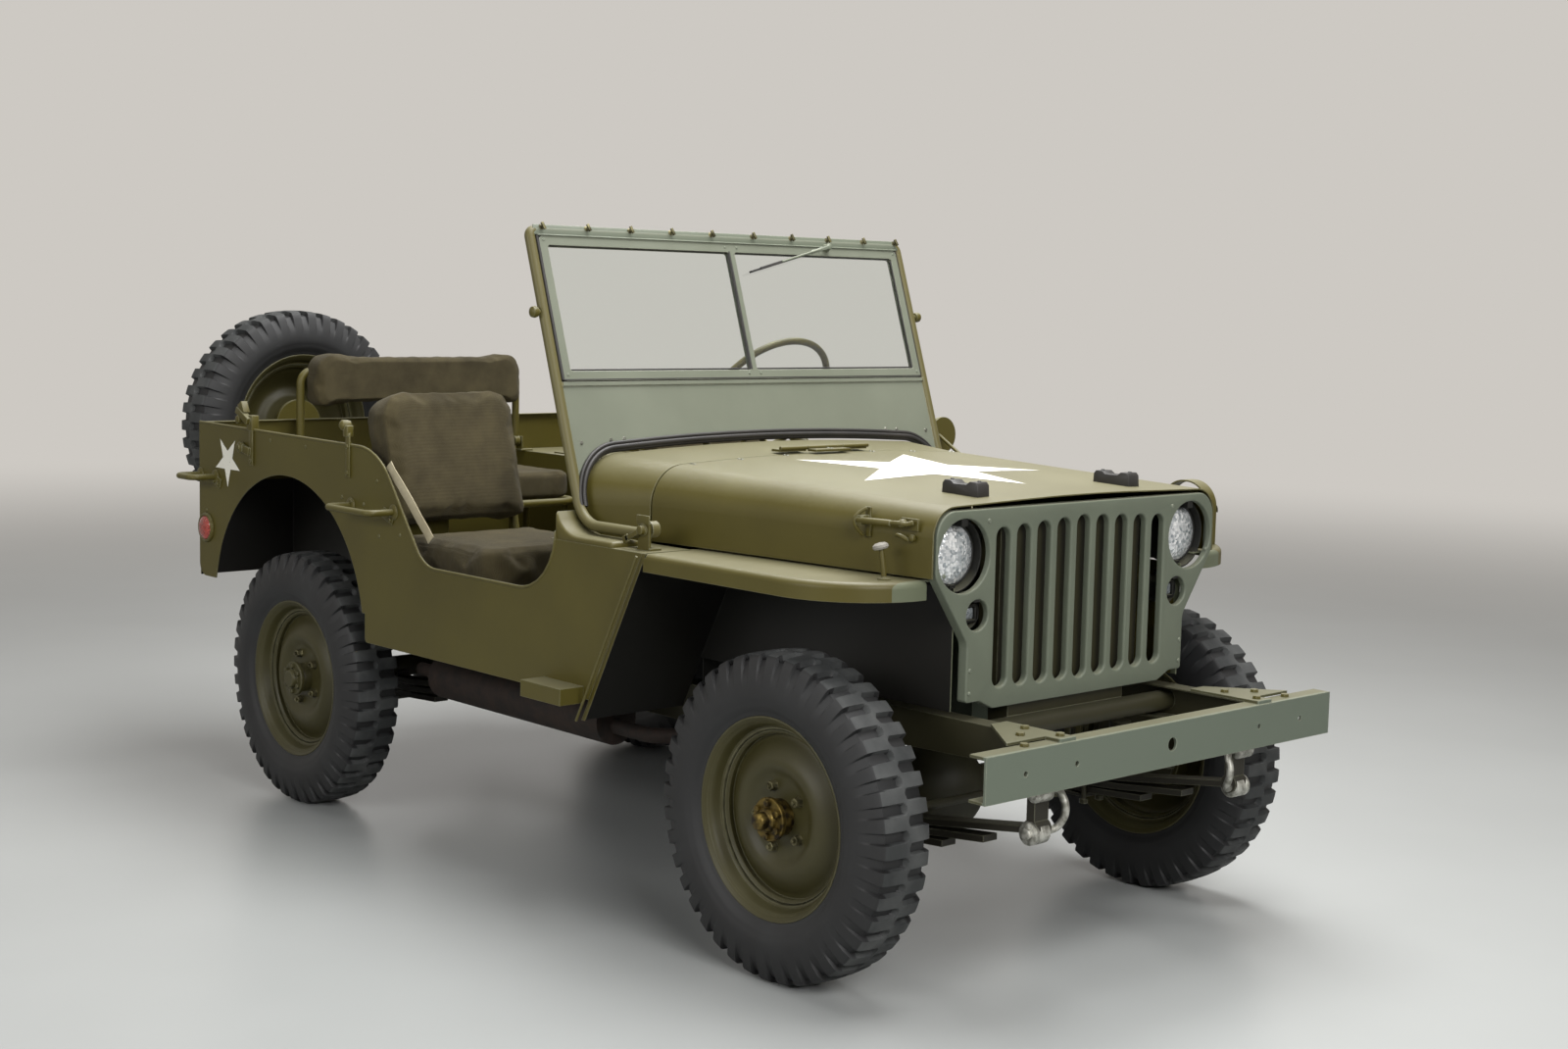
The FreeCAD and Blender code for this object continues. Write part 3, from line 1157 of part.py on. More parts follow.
# Pivot brackets stand on the cowl's ledges; their pins carry the windshield's arms.
bracket = box("pv_post", (pivot_x - 20, pivot_x + 20), (at.screenHalf + tube + 5, at.screenHalf + tube + 11),
              (at.fenderTop, at.pivotZ + 16))
pivot_pin = rod("pv_pin", 6, (pivot_x, at.screenHalf - tube - 8, at.pivotZ), "y", tube * 2 + 16)
foot = box("pv_foot", (pivot_x - 24, pivot_x + 24), (at.screenHalf - 10, at.screenHalf + tube + 11),
           (at.fenderTop, at.fenderTop + 5))
brackets = [pair("pv_pair", fuse("pv_left", [bracket, pivot_pin, foot]))]

# ---------------------------------------------------------------- seats
seat_front = seat_rear + at.seatDepth
frame_half = at.seatWidth / 2 - 14
seat_pivot_x = seat_front - 56
seat_pivot_z = floor_top + 22


def seat_frame(name, side):
    """A front seat's tubes: base ring, four legs and the leaning hoop of the back."""
    rear, front = seat_rear, seat_front
    ring = pipe(name + "_ring", "XY", at.seatHeight, [
        (rear, side - frame_half, 50), (front, side - frame_half, 50), (front, side + frame_half, 50),
        (rear, side + frame_half, 50)], at.seatTube, closed=True)
    legs = []
    for index, (x, y) in enumerate(((rear + 56, -1), (front - 56, -1), (front - 56, 1), (rear + 56, 1))):
        low = seat_pivot_z if index in (1, 2) else floor_top + at.fitGap
        legs.append(rod(f"{name}_leg{index}", at.seatTube - 1, (x, side + frame_half * y, low), "z",
                        at.seatHeight - low))
    for y in (-1, 1):
        spot = (seat_pivot_x, side + frame_half * y - 9, seat_pivot_z)
        eye = rod(f"{name}_eye{y + 1}", 14, spot, "y", 18)
        legs.append(eye)
    hoop = pipe(name + "_hoop", "YZ", 0, [
        (side - frame_half, 0), (side - frame_half, at.backHeight, 70), (side + frame_half, at.backHeight, 70),
        (side + frame_half, 0)], at.seatTube)
    hoop.Placement = Placement(Vector(), Rotation(Vector(0, 1, 0), -at.seatLean.value))
    bind(hoop, "Placement.Base.x", rear + 20)
    bind(hoop, "Placement.Base.z", at.seatHeight)
    bore = rod(name + "_bore", 6 + at.fitGap, (seat_pivot_x, side - frame_half - 40, seat_pivot_z), "y",
               (frame_half + 40) * 2)
    return cut(name + "_frame", fuse(name + "_solid", [ring, hoop] + legs), bore)


def seat_bracket(name, side):
    """A floor bracket whose pin carries the eye of a front seat leg."""
    post = box(name + "_post", (seat_pivot_x - 14, seat_pivot_x + 14), (side + 14, side + 18),
               (floor_top, seat_pivot_z + 14))
    pin = rod(name + "_pin", 6, (seat_pivot_x, side - 13, seat_pivot_z), "y", 30)
    return fuse(name, [post, pin])


def cushion(name, side):
    """The seat cushion resting on the base ring."""
    low = at.seatHeight + at.seatTube + 0.3
    rear, front = seat_rear + 52, seat_front + 12
    half = at.seatWidth / 2
    return plate(name, "XY", [[
        (rear, side - half, 30), (front, side - half, 60), (front, side + half, 60), (rear, side + half, 30)]],
        low, low + at.cushionThick)


def back_pad(name, side):
    """The pad in front of the back's hoop, drawn upright and leant back with it."""
    half, low, high = at.seatWidth / 2, at.cushionThick + 18, at.backHeight + 24
    body = plate(name, "YZ", [[
        (side - half, low, 30), (side + half, low, 30), (side + half, high, 80), (side - half, high, 80)]],
        at.seatTube + 0.3, at.seatTube + 64)
    body.Placement = Placement(Vector(), Rotation(Vector(0, 1, 0), -at.seatLean.value))
    bind(body, "Placement.Base.x", seat_rear + 20)
    bind(body, "Placement.Base.z", at.seatHeight)
    return body


for who, side in (("driver", at.seatSide), ("passenger", -at.seatSide)):
    node(who + "_seat_frame", seat_frame("sf_" + who, side))
    node(who + "_cushion", cushion("sc_" + who, side))
    node(who + "_back_pad", back_pad("sb_" + who, side))
    for edge in (-1, 1):
        brackets.append(seat_bracket(f"sk_{who}{edge + 1}", side + frame_half * edge))

bench_rear, bench_front = bench_back_x + 40, bench_back_x + 390
ring = pipe("be_ring", "XY", at.benchSeat, [
    (bench_rear, -at.benchHalf, 60), (bench_front, -at.benchHalf, 60), (bench_front, at.benchHalf, 60),
    (bench_rear, at.benchHalf, 60)], at.seatTube, closed=True)
legs = []
for index, (x, y) in enumerate(((bench_rear + 70, -1), (bench_front - 70, -1), (bench_front - 70, 1), (bench_rear + 70, 1))):
    legs.append(rod(f"be_leg{index}", at.seatTube - 1, (x, at.benchHalf * y, at.rearFloor), "z",
                    at.benchSeat - at.rearFloor))
node("bench_frame", fuse("be_all", [ring] + legs))
low = at.benchSeat + at.seatTube + 0.3
node("bench_cushion", plate("bc_pad", "XY", [[
    (bench_rear + 20, -at.benchHalf + 4, 30), (bench_front + 10, -at.benchHalf + 4, 60),
    (bench_front + 10, at.benchHalf - 4, 60), (bench_rear + 20, at.benchHalf - 4, 30)]], low, low + 84))

back_foot = at.houseTop + 34
post_side = at.benchHalf + 30
hoop = pipe("bb_hoop", "YZ", bench_back_x, [
    (-post_side, back_foot), (-post_side, at.benchTop - 40, 40), (post_side, at.benchTop - 40, 40),
    (post_side, back_foot)], at.seatTube)
feet = pair("bb_feet", rod("bb_eye", 18, (bench_back_x, post_side - 10, back_foot), "y", 20))
back_bore = rod("bb_bore", 6 + at.fitGap, (bench_back_x, -post_side - 40, back_foot), "y", (post_side + 40) * 2)
node("bench_back_frame", cut("bb_all", fuse("bb_solid", [hoop, feet]), back_bore))
node("bench_back_pad", plate("bp_pad", "YZ", [[
    (-at.benchHalf, at.benchTop - 140, 30), (at.benchHalf, at.benchTop - 140, 30),
    (at.benchHalf, at.benchTop + 8, 60), (-at.benchHalf, at.benchTop + 8, 60)]],
    bench_back_x + at.seatTube + 0.3, bench_back_x + at.seatTube + 66))
stand_post = box("bs_post", (bench_back_x - 16, bench_back_x + 16), (post_side + 16, post_side + 22),
                 (at.houseTop, back_foot + 14))
stand_foot = box("bs_foot", (bench_back_x - 20, bench_back_x + 20), (post_side + 12, at.houseInner + 30),
                 (at.houseTop, at.houseTop + 5))
stand_pin = rod("bs_pin", 6, (bench_back_x, post_side - 16, back_foot), "y", 36)
brackets.append(pair("bs_pair", fuse("bs_left", [stand_post, stand_foot, stand_pin])))
node("pivot_brackets", fuse("pivots", brackets))

# ---------------------------------------------------------------- steering
column_turn = Rotation(Vector(0, 1, 0), 90 + at.columnTilt.value)
slope_cos, slope_sin = trig("cos", at.columnTilt), trig("sin", at.columnTilt)


def along_column(reach):
    """A point on the column's line, measured down from the wheel's centre."""
    return wheel_x + slope_cos * reach, at.wheelSide, at.wheelZ - slope_sin * reach


def column_rod(name, radius, start, length):
    """A round bar on the column's line."""
    bar = rod(name, radius, along_column(start), "z", length)
    bar.Placement.Rotation = column_turn
    return bar


ring = doc.addObject("Part::Torus", "sw_ring")
bind(ring, "Radius1", at.wheelRimRadius)
bind(ring, "Radius2", at.wheelRimTube)
spokes = []
for index in range(3):
    spoke = doc.addObject("Part::Cylinder", f"sw_spoke{index}")
    bind(spoke, "Radius", 7)
    bind(spoke, "Height", at.wheelRimRadius)
    spoke.Placement.Rotation = Rotation(Vector(0, 0, 1), 120 * index) * Rotation(Vector(0, 1, 0), 90)
    spokes.append(spoke)
boss = rod("sw_boss", 28, (0, 0, -20), "z", 50)
steering = fuse("sw_all", [ring, boss] + spokes)
steering.Placement.Rotation = column_turn
for letter, value in zip("xyz", along_column(0)):
    bind(steering, "Placement.Base." + letter, value)
node("steering_wheel", steering)
boss_end = 30
gear_x = firewall_x + 165
column_end = (gear_x + 20 - wheel_x) / slope_cos
column = column_rod("sc_tube", at.columnRadius, boss_end + at.moveGap, column_end - boss_end - at.moveGap)
gear = box("sc_gear", (gear_x, gear_x + 120), (rail_inner - 22, at.railOuter + 14), (rail_mid + 20, at.railFront + 90))
node("steering_column", cut("sc_fit", fuse("sc_all", [column, gear]), rail))

# ---------------------------------------------------------------- fittings
grip_radius = 9
grip_side = at.bodyHalf + at.gripReach - grip_radius
# Columns: name, X from, X to, height.
GRIPS = [
    ("side", cut_top - 134, cut_top + 82, 888),
    ("rear", body_rear + 10, body_rear + 104, 905),
]
fittings = []
for name, x_low, x_high, height in GRIPS:
    grip = pipe(f"ft_{name}", "XY", height, [
        (x_low, at.bodyHalf), (x_low, grip_side, 22), (x_high, grip_side, 22), (x_high, at.bodyHalf)],
        grip_radius)
    fittings.append(pair(f"ft_{name}_pair", grip))
step = box("ft_step", (fender_foot - 150, fender_foot + 8), (at.bodyHalf, at.bodyHalf + at.stepReach),
           (at.sideLow - 10, at.sideLow + 30))
fittings.append(pair("ft_steps", step))
node("body_fittings", fuse("ft_all", fittings))

mirror_x, mirror_side = cowl_rear - 84, at.bodyHalf + at.gripReach - at.mirrorRadius
mirror_arm = pipe("mi_arm", "XZ", mirror_side - 14, [
    (cowl_rear + 34, at.fenderTop - 50), (cowl_rear + 28, at.mirrorHeight - 60, 40),
    (mirror_x + 10, at.mirrorHeight)], 5)
mirror_foot = box("mi_foot", (cowl_rear + 18, cowl_rear + 50), (at.bodyHalf, mirror_side - 8),
                  (at.fenderTop - 60, at.fenderTop - 30))
mirror_head = rod("mi_head", at.mirrorRadius, (mirror_x, mirror_side, at.mirrorHeight), "x", 12)
node("mirror", fuse("mi_all", [mirror_arm, mirror_foot, mirror_head]))

# The blackout lamp stands on the left fender inside a hoop of strap steel.
strap = 4
hoop_rear, hoop_front = grille_face - 240, grille_face - 100
hoop_side = at.bodyHalf - 108
hoop_top = at.fenderTop + at.guardHeight
hoop_rows = [(hoop_rear, at.fenderTop), (hoop_rear, hoop_top, 66), (hoop_front, hoop_top, 66),
             (hoop_front, at.fenderTop)]
hoop_inside = [(hoop_front - strap, at.fenderTop), (hoop_front - strap, hoop_top - strap, 62),
               (hoop_rear + strap, hoop_top - strap, 62), (hoop_rear + strap, at.fenderTop)]
guard = plate("lg_strap", "XZ", [hoop_rows + hoop_inside], hoop_side, hoop_side + at.guardWidth)
lamp_x, lamp_side = hoop_rear + 34, hoop_side + at.guardWidth / 2
lamp_z = at.fenderTop + at.blackoutRadius + 14
lamp_body = rod("lg_lamp", at.blackoutRadius, (lamp_x, lamp_side, lamp_z), "x", 64)
lamp_stalk = rod("lg_stalk", 8, (lamp_x + 28, lamp_side, at.fenderTop), "z", lamp_z - at.fenderTop)
node("blackout_lamp", fuse("lg_all", [guard, lamp_body, lamp_stalk]))

spare_x = -bumper_face + at.tyreWidth / 2
plate_x = spare_x + disc_back
carrier_hub = rod("sp_hub", 78, (plate_x, -at.spareSide, at.spareHeight), "x", 12)
carrier_arm = box("sp_arm", (plate_x + 6, body_rear), (-at.spareSide - 30, -at.spareSide + 30),
                  (at.spareHeight - 120, at.spareHeight + 10))
node("spare_carrier", fuse("sp_all", [carrier_hub, carrier_arm]))
tank_half = frame_half - 32
tank = box("tank_block", (floor_step + 14, seat_front - 6), (at.seatSide - tank_half, at.seatSide + tank_half),
           (floor_top, at.seatHeight - at.seatTube - 6))
node("fuel_tank", tank)
levers = []
# Columns: distance behind the firewall, side, length.
LEVERS = [(235, 10, 250), (315, -34, 170), (345, -62, 170)]
for index, (back, side, tall) in enumerate(LEVERS):
    levers.append(rod(f"lv_{index}", 7, (firewall_x - back, side, at.tunnelTop), "z", tall))
node("control_levers", fuse("lv_all", levers))

# ---------------------------------------------------------------- check and write
doc.recompute()
failed = [item.Name for item in doc.Objects if "Invalid" in item.State or "Error" in item.State]
failed += [name for name, obj in NODES.items() if obj.Shape.isNull() or not obj.Shape.isValid()]
if failed:
    raise SystemExit(f"not built: {failed}")
os.makedirs("parts", exist_ok=True)
for name, obj in NODES.items():
    obj.Shape.exportStep(f"parts/{name}.step")
    print(f"{name:22s} {len(obj.Shape.Solids)} solids {obj.Shape.Volume / 1e6:9.3f} litres")
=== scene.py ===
# %% [markdown]
# # An open army 4x4 car
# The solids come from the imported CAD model. This notebook gives them their finishes, adds the soft
# parts and the small fittings, and sets up a plain studio. Every cell makes one thing and prints it.

# %%
import math

import bmesh
import bpy
from mathutils import Matrix, Vector
from mathutils.bvhtree import BVHTree


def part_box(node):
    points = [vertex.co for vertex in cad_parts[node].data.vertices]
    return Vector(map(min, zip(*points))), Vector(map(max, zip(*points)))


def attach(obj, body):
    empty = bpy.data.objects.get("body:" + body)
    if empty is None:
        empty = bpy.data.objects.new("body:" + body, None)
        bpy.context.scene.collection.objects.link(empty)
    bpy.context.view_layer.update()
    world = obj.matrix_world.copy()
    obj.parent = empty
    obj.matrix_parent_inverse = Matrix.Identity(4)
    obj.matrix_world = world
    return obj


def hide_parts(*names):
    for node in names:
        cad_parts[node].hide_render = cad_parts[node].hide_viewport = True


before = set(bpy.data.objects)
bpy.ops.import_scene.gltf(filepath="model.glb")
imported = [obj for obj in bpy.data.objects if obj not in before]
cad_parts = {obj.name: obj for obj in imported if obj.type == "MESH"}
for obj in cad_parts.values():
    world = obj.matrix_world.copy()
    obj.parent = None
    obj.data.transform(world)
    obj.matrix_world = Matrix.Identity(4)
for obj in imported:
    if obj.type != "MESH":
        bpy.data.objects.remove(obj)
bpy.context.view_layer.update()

# %% [markdown]
# ## Camera
# A portrait of a car from its front corner, at chest height. The camera is placed in metres in the
# car's own frame and turned with three angles: which way it looks, how far it dips and its roll.

# %%
CAMERA_PLACE = Vector((4.3915, -3.646, 1.474))
CAMERA_TURN, CAMERA_DIP, CAMERA_ROLL = 137.82, 5.81, 1.29
LENS, SENSOR, SHIFT = 48.03, 36.0, (0.0083, -0.0091)


def stand(name, data):
    """A new object in the scene, at the origin."""
    thing = bpy.data.objects.new(name, data)
    bpy.context.scene.collection.objects.link(thing)
    return thing


turn, dip, roll = (math.radians(angle) for angle in (CAMERA_TURN, CAMERA_DIP, CAMERA_ROLL))
look = Vector((math.cos(dip) * math.cos(turn), math.cos(dip) * math.sin(turn), -math.sin(dip)))
right = look.cross(Vector((0, 0, 1))).normalized()
above = right.cross(look)
axis_x = right * math.cos(roll) + above * math.sin(roll)
axis_y = above * math.cos(roll) - right * math.sin(roll)
camera = stand("camera", bpy.data.cameras.new("camera"))
camera.data.lens, camera.data.sensor_width = LENS, SENSOR
camera.data.shift_x, camera.data.shift_y = SHIFT
pose = Matrix((axis_x, axis_y, -look)).transposed().to_4x4()
camera.matrix_world = Matrix.Translation(CAMERA_PLACE) @ pose
bpy.context.scene.camera = camera
print("camera at", tuple(round(v, 3) for v in CAMERA_PLACE))

# %% [markdown]
# ## Studio
# Large soft lamps hang over and in front of the car, as in a photographer's studio. The floor is a
# pale painted floor that fades into the background, so that there is no horizon line. The background
# is a colour that only the camera, mirrors and glass see, so it adds no light of its own.

# %%
def linear(code):
    """An sRGB hex colour as the linear numbers that shaders use."""
    channels = [int(code[i:i + 2], 16) / 255 for i in (1, 3, 5)]
    return tuple(c / 12.92 if c <= 0.04045 else ((c + 0.055) / 1.055) ** 2.4 for c in channels) + (1.0,)


def put(tree, kind, inputs=(), **settings):
    """Add a node. Inputs go by name or number, or in order: values, hex colours, sockets or whole nodes."""
    node = tree.nodes.new(kind if "Node" in kind else "ShaderNode" + kind)
    for name, value in settings.items():
        setattr(node, name, value)
    for key, value in inputs.items() if isinstance(inputs, dict) else enumerate(inputs):
        if isinstance(value, bpy.types.Node):
            value = next(socket for socket in value.outputs if socket.enabled)
        if isinstance(value, bpy.types.NodeSocket):
            tree.links.new(value, node.inputs[key])
        else:
            is_colour = isinstance(value, str) and value.startswith("#")
            node.inputs[key].default_value = linear(value) if is_colour else value
    return node


BACKGROUND = "#cdc9c3"
bpy.context.scene.view_settings.view_transform = "Standard"
world = bpy.data.worlds.new("studio")
bpy.context.scene.world = world
world.use_nodes = True
sky = world.node_tree
sky.nodes.clear()
ray = put(sky, "LightPath").outputs
seen = put(sky, "Math", [ray["Is Camera Ray"], ray["Is Transmission Ray"]], operation="MAXIMUM")
seen = put(sky, "Math", [seen, ray["Is Glossy Ray"]], operation="MAXIMUM")
fill = put(sky, "Background", ["#eceff2", 0.06])
backdrop = put(sky, "Background", [BACKGROUND, 1.0])
put(sky, "OutputWorld", [put(sky, "MixShader", [seen, fill, backdrop])])
print("world", world.name)


# %%
# Columns: name, place, what it points at, width, depth, power in watts.
LAMPS = [
    ("overhead", (0.5, 0.6, 4.4), (0.2, 0.0, 0.0), 4.4, 2.4, 345),
    ("front", (5.5, -1.8, 3.0), (0.7, 0.0, 0.8), 3.0, 2.0, 215),
    ("right_side", (0.7, -6.0, 2.7), (0.0, 0.0, 0.8), 3.8, 1.6, 135),
    ("rear_fill", (-4.8, 3.4, 3.4), (-0.6, 0.0, 0.8), 3.6, 2.4, 50),
]
for name, place, target, width, depth, power in LAMPS:
    lamp = bpy.data.lights.new(name, "AREA")
    lamp.shape, lamp.size, lamp.size_y, lamp.energy = "RECTANGLE", width, depth, power
    holder = stand(name, lamp)
    holder.location = place
    holder.rotation_euler = (Vector(target) - Vector(place)).to_track_quat("-Z", "Y").to_euler()
print("lamps", [row[0] for row in LAMPS])

# %%
def shader(name):
    """A new material: itself, its empty tree and the place on the object."""
    material = bpy.data.materials.new(name)
    material.use_nodes = True
    material.node_tree.nodes.clear()
    return material, material.node_tree, put(material.node_tree, "TexCoord").outputs["Object"]


def surface(material, looks):
    """End a material with the Principled shader."""
    tree = material.node_tree
    put(tree, "OutputMaterial", {"Surface": put(tree, "BsdfPrincipled", looks)})
    return material


def clouded(tree, place, scale, detail, spread, first, second, roughness=0.5):
    """Two colours that drift into each other in clouds; returns the noise and the colour."""
    noise = put(tree, "TexNoise", {"Vector": place, "Scale": scale, "Detail": detail, "Roughness": roughness})
    share = put(tree, "MapRange", [noise, *spread])
    return noise, put(tree, "Mix", {0: share, 6: first, 7: second}, data_type="RGBA")


def painted_floor():
    """Pale painted concrete: a low sheen, faint clouds, and a fade to the background far away."""
    material, tree, place = shader("painted_floor")
    tint = clouded(tree, place, 0.8, 4.0, (0.0, 1.0), "#9fa19f", "#b0b2b0")[1]
    paint = put(tree, "BsdfPrincipled", {"Base Color": tint, "Roughness": 0.32})
    away = put(tree, "VectorMath", [place], operation="LENGTH")
    fade = put(tree, "MapRange", [away, 4.0, 13.0], interpolation_type="SMOOTHSTEP")
    seen = put(tree, "Math", [fade, put(tree, "LightPath").outputs["Is Camera Ray"]], operation="MULTIPLY")
    haze = put(tree, "Emission", [BACKGROUND, 1.0])
    put(tree, "OutputMaterial", {"Surface": put(tree, "MixShader", [seen, paint, haze])})
    return material


def mesh_object(name, bm, material):
    """A finished bmesh as an object at the origin."""
    mesh = bpy.data.meshes.new(name)
    bm.to_mesh(mesh)
    bm.free()
    mesh.materials.append(material)
    return stand(name, mesh)


FLOOR_RADIUS = 30.0
bm = bmesh.new()
bmesh.ops.create_circle(bm, cap_ends=True, radius=FLOOR_RADIUS, segments=96)
mesh_object("floor", bm, painted_floor())
print("floor", FLOOR_RADIUS, "m across its radius")

# %% [markdown]
# ## Enamel
# The body is pressed steel sprayed with flat olive alkyd enamel. Old enamel is never one colour: it
# fades in clouds, holds dust on top and rubs thin along edges. The Bevel node finds the edges. The tops
# are also made paler as a painted sheen, and the wheel arches and undersides near black as painted shade.

# %%
def every(tree, tests):
    """1 where every test holds; a test is a value, a comparison and its limit."""
    product = 1.0
    for value, comparison, limit in tests:
        held = put(tree, "Math", [value, limit], operation=comparison)
        product = put(tree, "Math", [product, held], operation="MULTIPLY")
    return product


def paint_shade_underneath(tree, at, faces, paint):
    """Painted shade, near black over the paint: on faces that look down, and inside the wheel arches."""
    wide, side = (put(tree, "Math", [at["Y"]], operation=kind) for kind in ("ABSOLUTE", "SIGN"))
    outward = put(tree, "Math", [faces["Y"], side], operation="MULTIPLY")
    shade_share = put(tree, "MapRange", [faces["Z"], -0.30, -0.45])
    engine_sides = [(outward, "GREATER_THAN", 0.3), (wide, "LESS_THAN", 0.540)]
    x = at["X"]
    front_arches = [(faces["X"], "GREATER_THAN", 0.3), (x, "GREATER_THAN", 0.40), (x, "LESS_THAN", 0.712)]
    rear_arches = [(x, "LESS_THAN", -0.62), (wide, "GREATER_THAN", 0.432), (wide, "LESS_THAN", 0.6965)]
    for tests in (engine_sides, front_arches, rear_arches):
        shade_share = put(tree, "Math", [shade_share, every(tree, tests)], operation="MAXIMUM")
    low = every(tree, [(at["Z"], "LESS_THAN", 0.888)])
    shade_share = put(tree, "Math", [shade_share, low], operation="MULTIPLY")
    # The near-black colour is painted shade, only below the tub's edge.
    return put(tree, "Mix", {0: shade_share, 6: paint, 7: "#141310"}, data_type="RGBA")


def enamel(name, body, faded, dark, roughness=0.46, wear="#8a8a72", beyond=None, with_painted_shade=False, dust_and_sheen=0.42):
    """Sprayed alkyd enamel: clouds of fading, a fine orange peel, and paint rubbed pale on edges.

    beyond is a second colour with the axis and the distance from the car's middle where it starts. Whatever
    faces up is painted paler, part pale dust and part painted sheen, as much as the last argument says. The
    argument before it turns the wheel arches and downward faces near black as painted shade.
    """
    material, tree, place = shader(name)
    clouds, base = clouded(tree, place, 3.1, 6.0, (0.3, 0.7), dark, faded, 0.6)
    paint = put(tree, "Mix", {0: 0.55, 6: base, 7: body}, data_type="RGBA")
    at = put(tree, "SeparateXYZ", [place]).outputs
    if beyond:
        colour, axis, limit = beyond
        outside = every(tree, [(put(tree, "Math", [at[axis]], operation="ABSOLUTE"), "GREATER_THAN", limit)])
        paint = put(tree, "Mix", {0: outside, 6: paint, 7: colour}, data_type="RGBA")
    soft = put(tree, "Bevel", {"Radius": 0.003}, samples=4)
    sharp = put(tree, "NewGeometry").outputs["Normal"]
    likeness = put(tree, "VectorMath", [soft, sharp], operation="DOT_PRODUCT")
    edge = put(tree, "MapRange", [likeness, 0.995, 0.90])
    scuffs = put(tree, "TexNoise", {"Vector": place, "Scale": 38.0, "Detail": 5.0})
    rubbed = put(tree, "Math", [edge, scuffs], operation="MULTIPLY")
    paint = put(tree, "Mix", {0: rubbed, 6: paint, 7: wear}, data_type="RGBA")
    faces = put(tree, "SeparateXYZ", [sharp]).outputs
    # Upward faces go paler in clouds: part pale dust, part painted sheen.
    upward = put(tree, "MapRange", [faces["Z"], 0.45, 1.0, 0.0, dust_and_sheen])
    drifts = put(tree, "MapRange", [clouds, 0.2, 0.7, 0.6])
    paler_tops = put(tree, "Math", [upward, drifts], operation="MULTIPLY")
    paint = put(tree, "Mix", {0: paler_tops, 6: paint, 7: "#8e8c76"}, data_type="RGBA")
    # Painted shade: wheel arches, engine-side aprons and downward faces turn near black.
    if with_painted_shade:
        paint = paint_shade_underneath(tree, at, faces, paint)
    peel = put(tree, "TexNoise", {"Vector": place, "Scale": 420.0, "Detail": 2.0})
    bump = put(tree, "Bump", {"Height": peel, "Strength": 0.05, "Distance": 0.0005, "Normal": soft})
    gloss = put(tree, "MapRange", [clouds, 0.0, 1.0, roughness - 0.06, roughness + 0.08])
    return surface(material, {"Base Color": paint, "Roughness": gloss, "Normal": bump,
                              "Specular IOR Level": 0.32})


OLIVE_TONES = "#4b4417", "#554e20", "#403912"
OLIVE = enamel("olive_enamel", *OLIVE_TONES)
# Body and fenders carry painted shade in the wheel arches and under the body.
BODY = enamel("olive_body_enamel", *OLIVE_TONES, with_painted_shade=True)
FENDER = enamel("fender_enamel", *OLIVE_TONES, with_painted_shade=True, beyond=("#5b604c", "X", 1.372))
GREY_GREEN = enamel("grey_green_enamel", "#5f6557", "#696f5f", "#54594c", wear="#a4a898")
SCREEN = enamel("windshield_enamel", "#6c7062", "#767a6b", "#626658", wear="#a9ab9c",
                beyond=("#57512f", "Y", 0.6245))
BUMPER = enamel("bumper_enamel", "#47452d", "#525036", "#3b3a26", wear="#a8a995",
                beyond=("#5f675a", "X", 1.6705))
# Frame, axles and radiator: dark olive paint, darkened further as painted shade under the car.
CHASSIS = enamel("chassis_enamel", "#2b2918", "#35321f", "#1f1d12", roughness=0.55, dust_and_sheen=0.15)
ENGINE = enamel("engine_enamel", "#3a4232", "#454c3a", "#2c3226", roughness=0.5)
SPRING = enamel("spring_steel", "#24221b", "#2f2c22", "#1b1914", roughness=0.6, dust_and_sheen=0.1)
WHEEL = enamel("wheel_enamel", "#393519", "#444024", "#2d2a14", wear="#77745a", dust_and_sheen=0.1)
DARK = enamel("dark_lining", "#12120f", "#191813", "#0c0c0a", roughness=0.6, wear="#2a2a24")
print("enamels", [m.name for m in bpy.data.materials if "enamel" in m.name])


# %% [markdown]
# ## Rubber, canvas, glass and bare metal
# Rubber greys with dust, duck fades where people sit, and bare metal dulls under oil or rusts.
# Each is a base colour in clouds with a fine bump; glass only varies in how clean it is.

# %%
def rubber(name, colour, dusty, roughness=0.62):
    """Moulded natural rubber: nearly black, with grey dust in clouds and a fine skin."""
    material, tree, place = shader(name)
    tint = clouded(tree, place, 9.0, 6.0, (0.4, 0.75), colour, dusty)[1]
    skin = put(tree, "TexNoise", {"Vector": place, "Scale": 900.0, "Detail": 2.0})
    bump = put(tree, "Bump", {"Height": skin, "Strength": 0.15, "Distance": 0.0006})
    return surface(material, {"Base Color": tint, "Roughness": roughness, "Normal": bump})


TYRE = rubber("tyre_rubber", "#0d0d0e", "#191a1b")
TREAD = rubber("worn_tread", "#252727", "#4c4d4c", roughness=0.8)
BLACK_RUBBER = rubber("black_rubber", "#1a1816", "#2a2724", roughness=0.5)
PALE_RUBBER = rubber("perished_rubber", "#6e6a60", "#95918a", roughness=0.75)


def canvas(name, colour, worn, thread=1.1):
    """Woven cotton duck; the threads are drawn about 1.1 mm apart, coarser than real, so that they show."""
    material, tree, place = shader(name)
    tint = clouded(tree, place, 7.0, 7.0, (0.32, 0.68), colour, worn, 0.62)[1]
    wave = {"Vector": place, "Scale": 1000.0 / thread / math.tau, "Distortion": 0.6, "Detail": 1.0}
    threads = [put(tree, "TexWave", wave, bands_direction=axis).outputs["Fac"] for axis in "XYZ"]
    weave = put(tree, "Math", threads, operation="MULTIPLY_ADD")
    bump = put(tree, "Bump", {"Height": weave, "Strength": 0.6, "Distance": 0.0009})
    return surface(material, {"Base Color": tint, "Roughness": 0.92, "Normal": bump,
                              "Specular IOR Level": 0.18, "Sheen Weight": 0.05, "Sheen Roughness": 0.6})


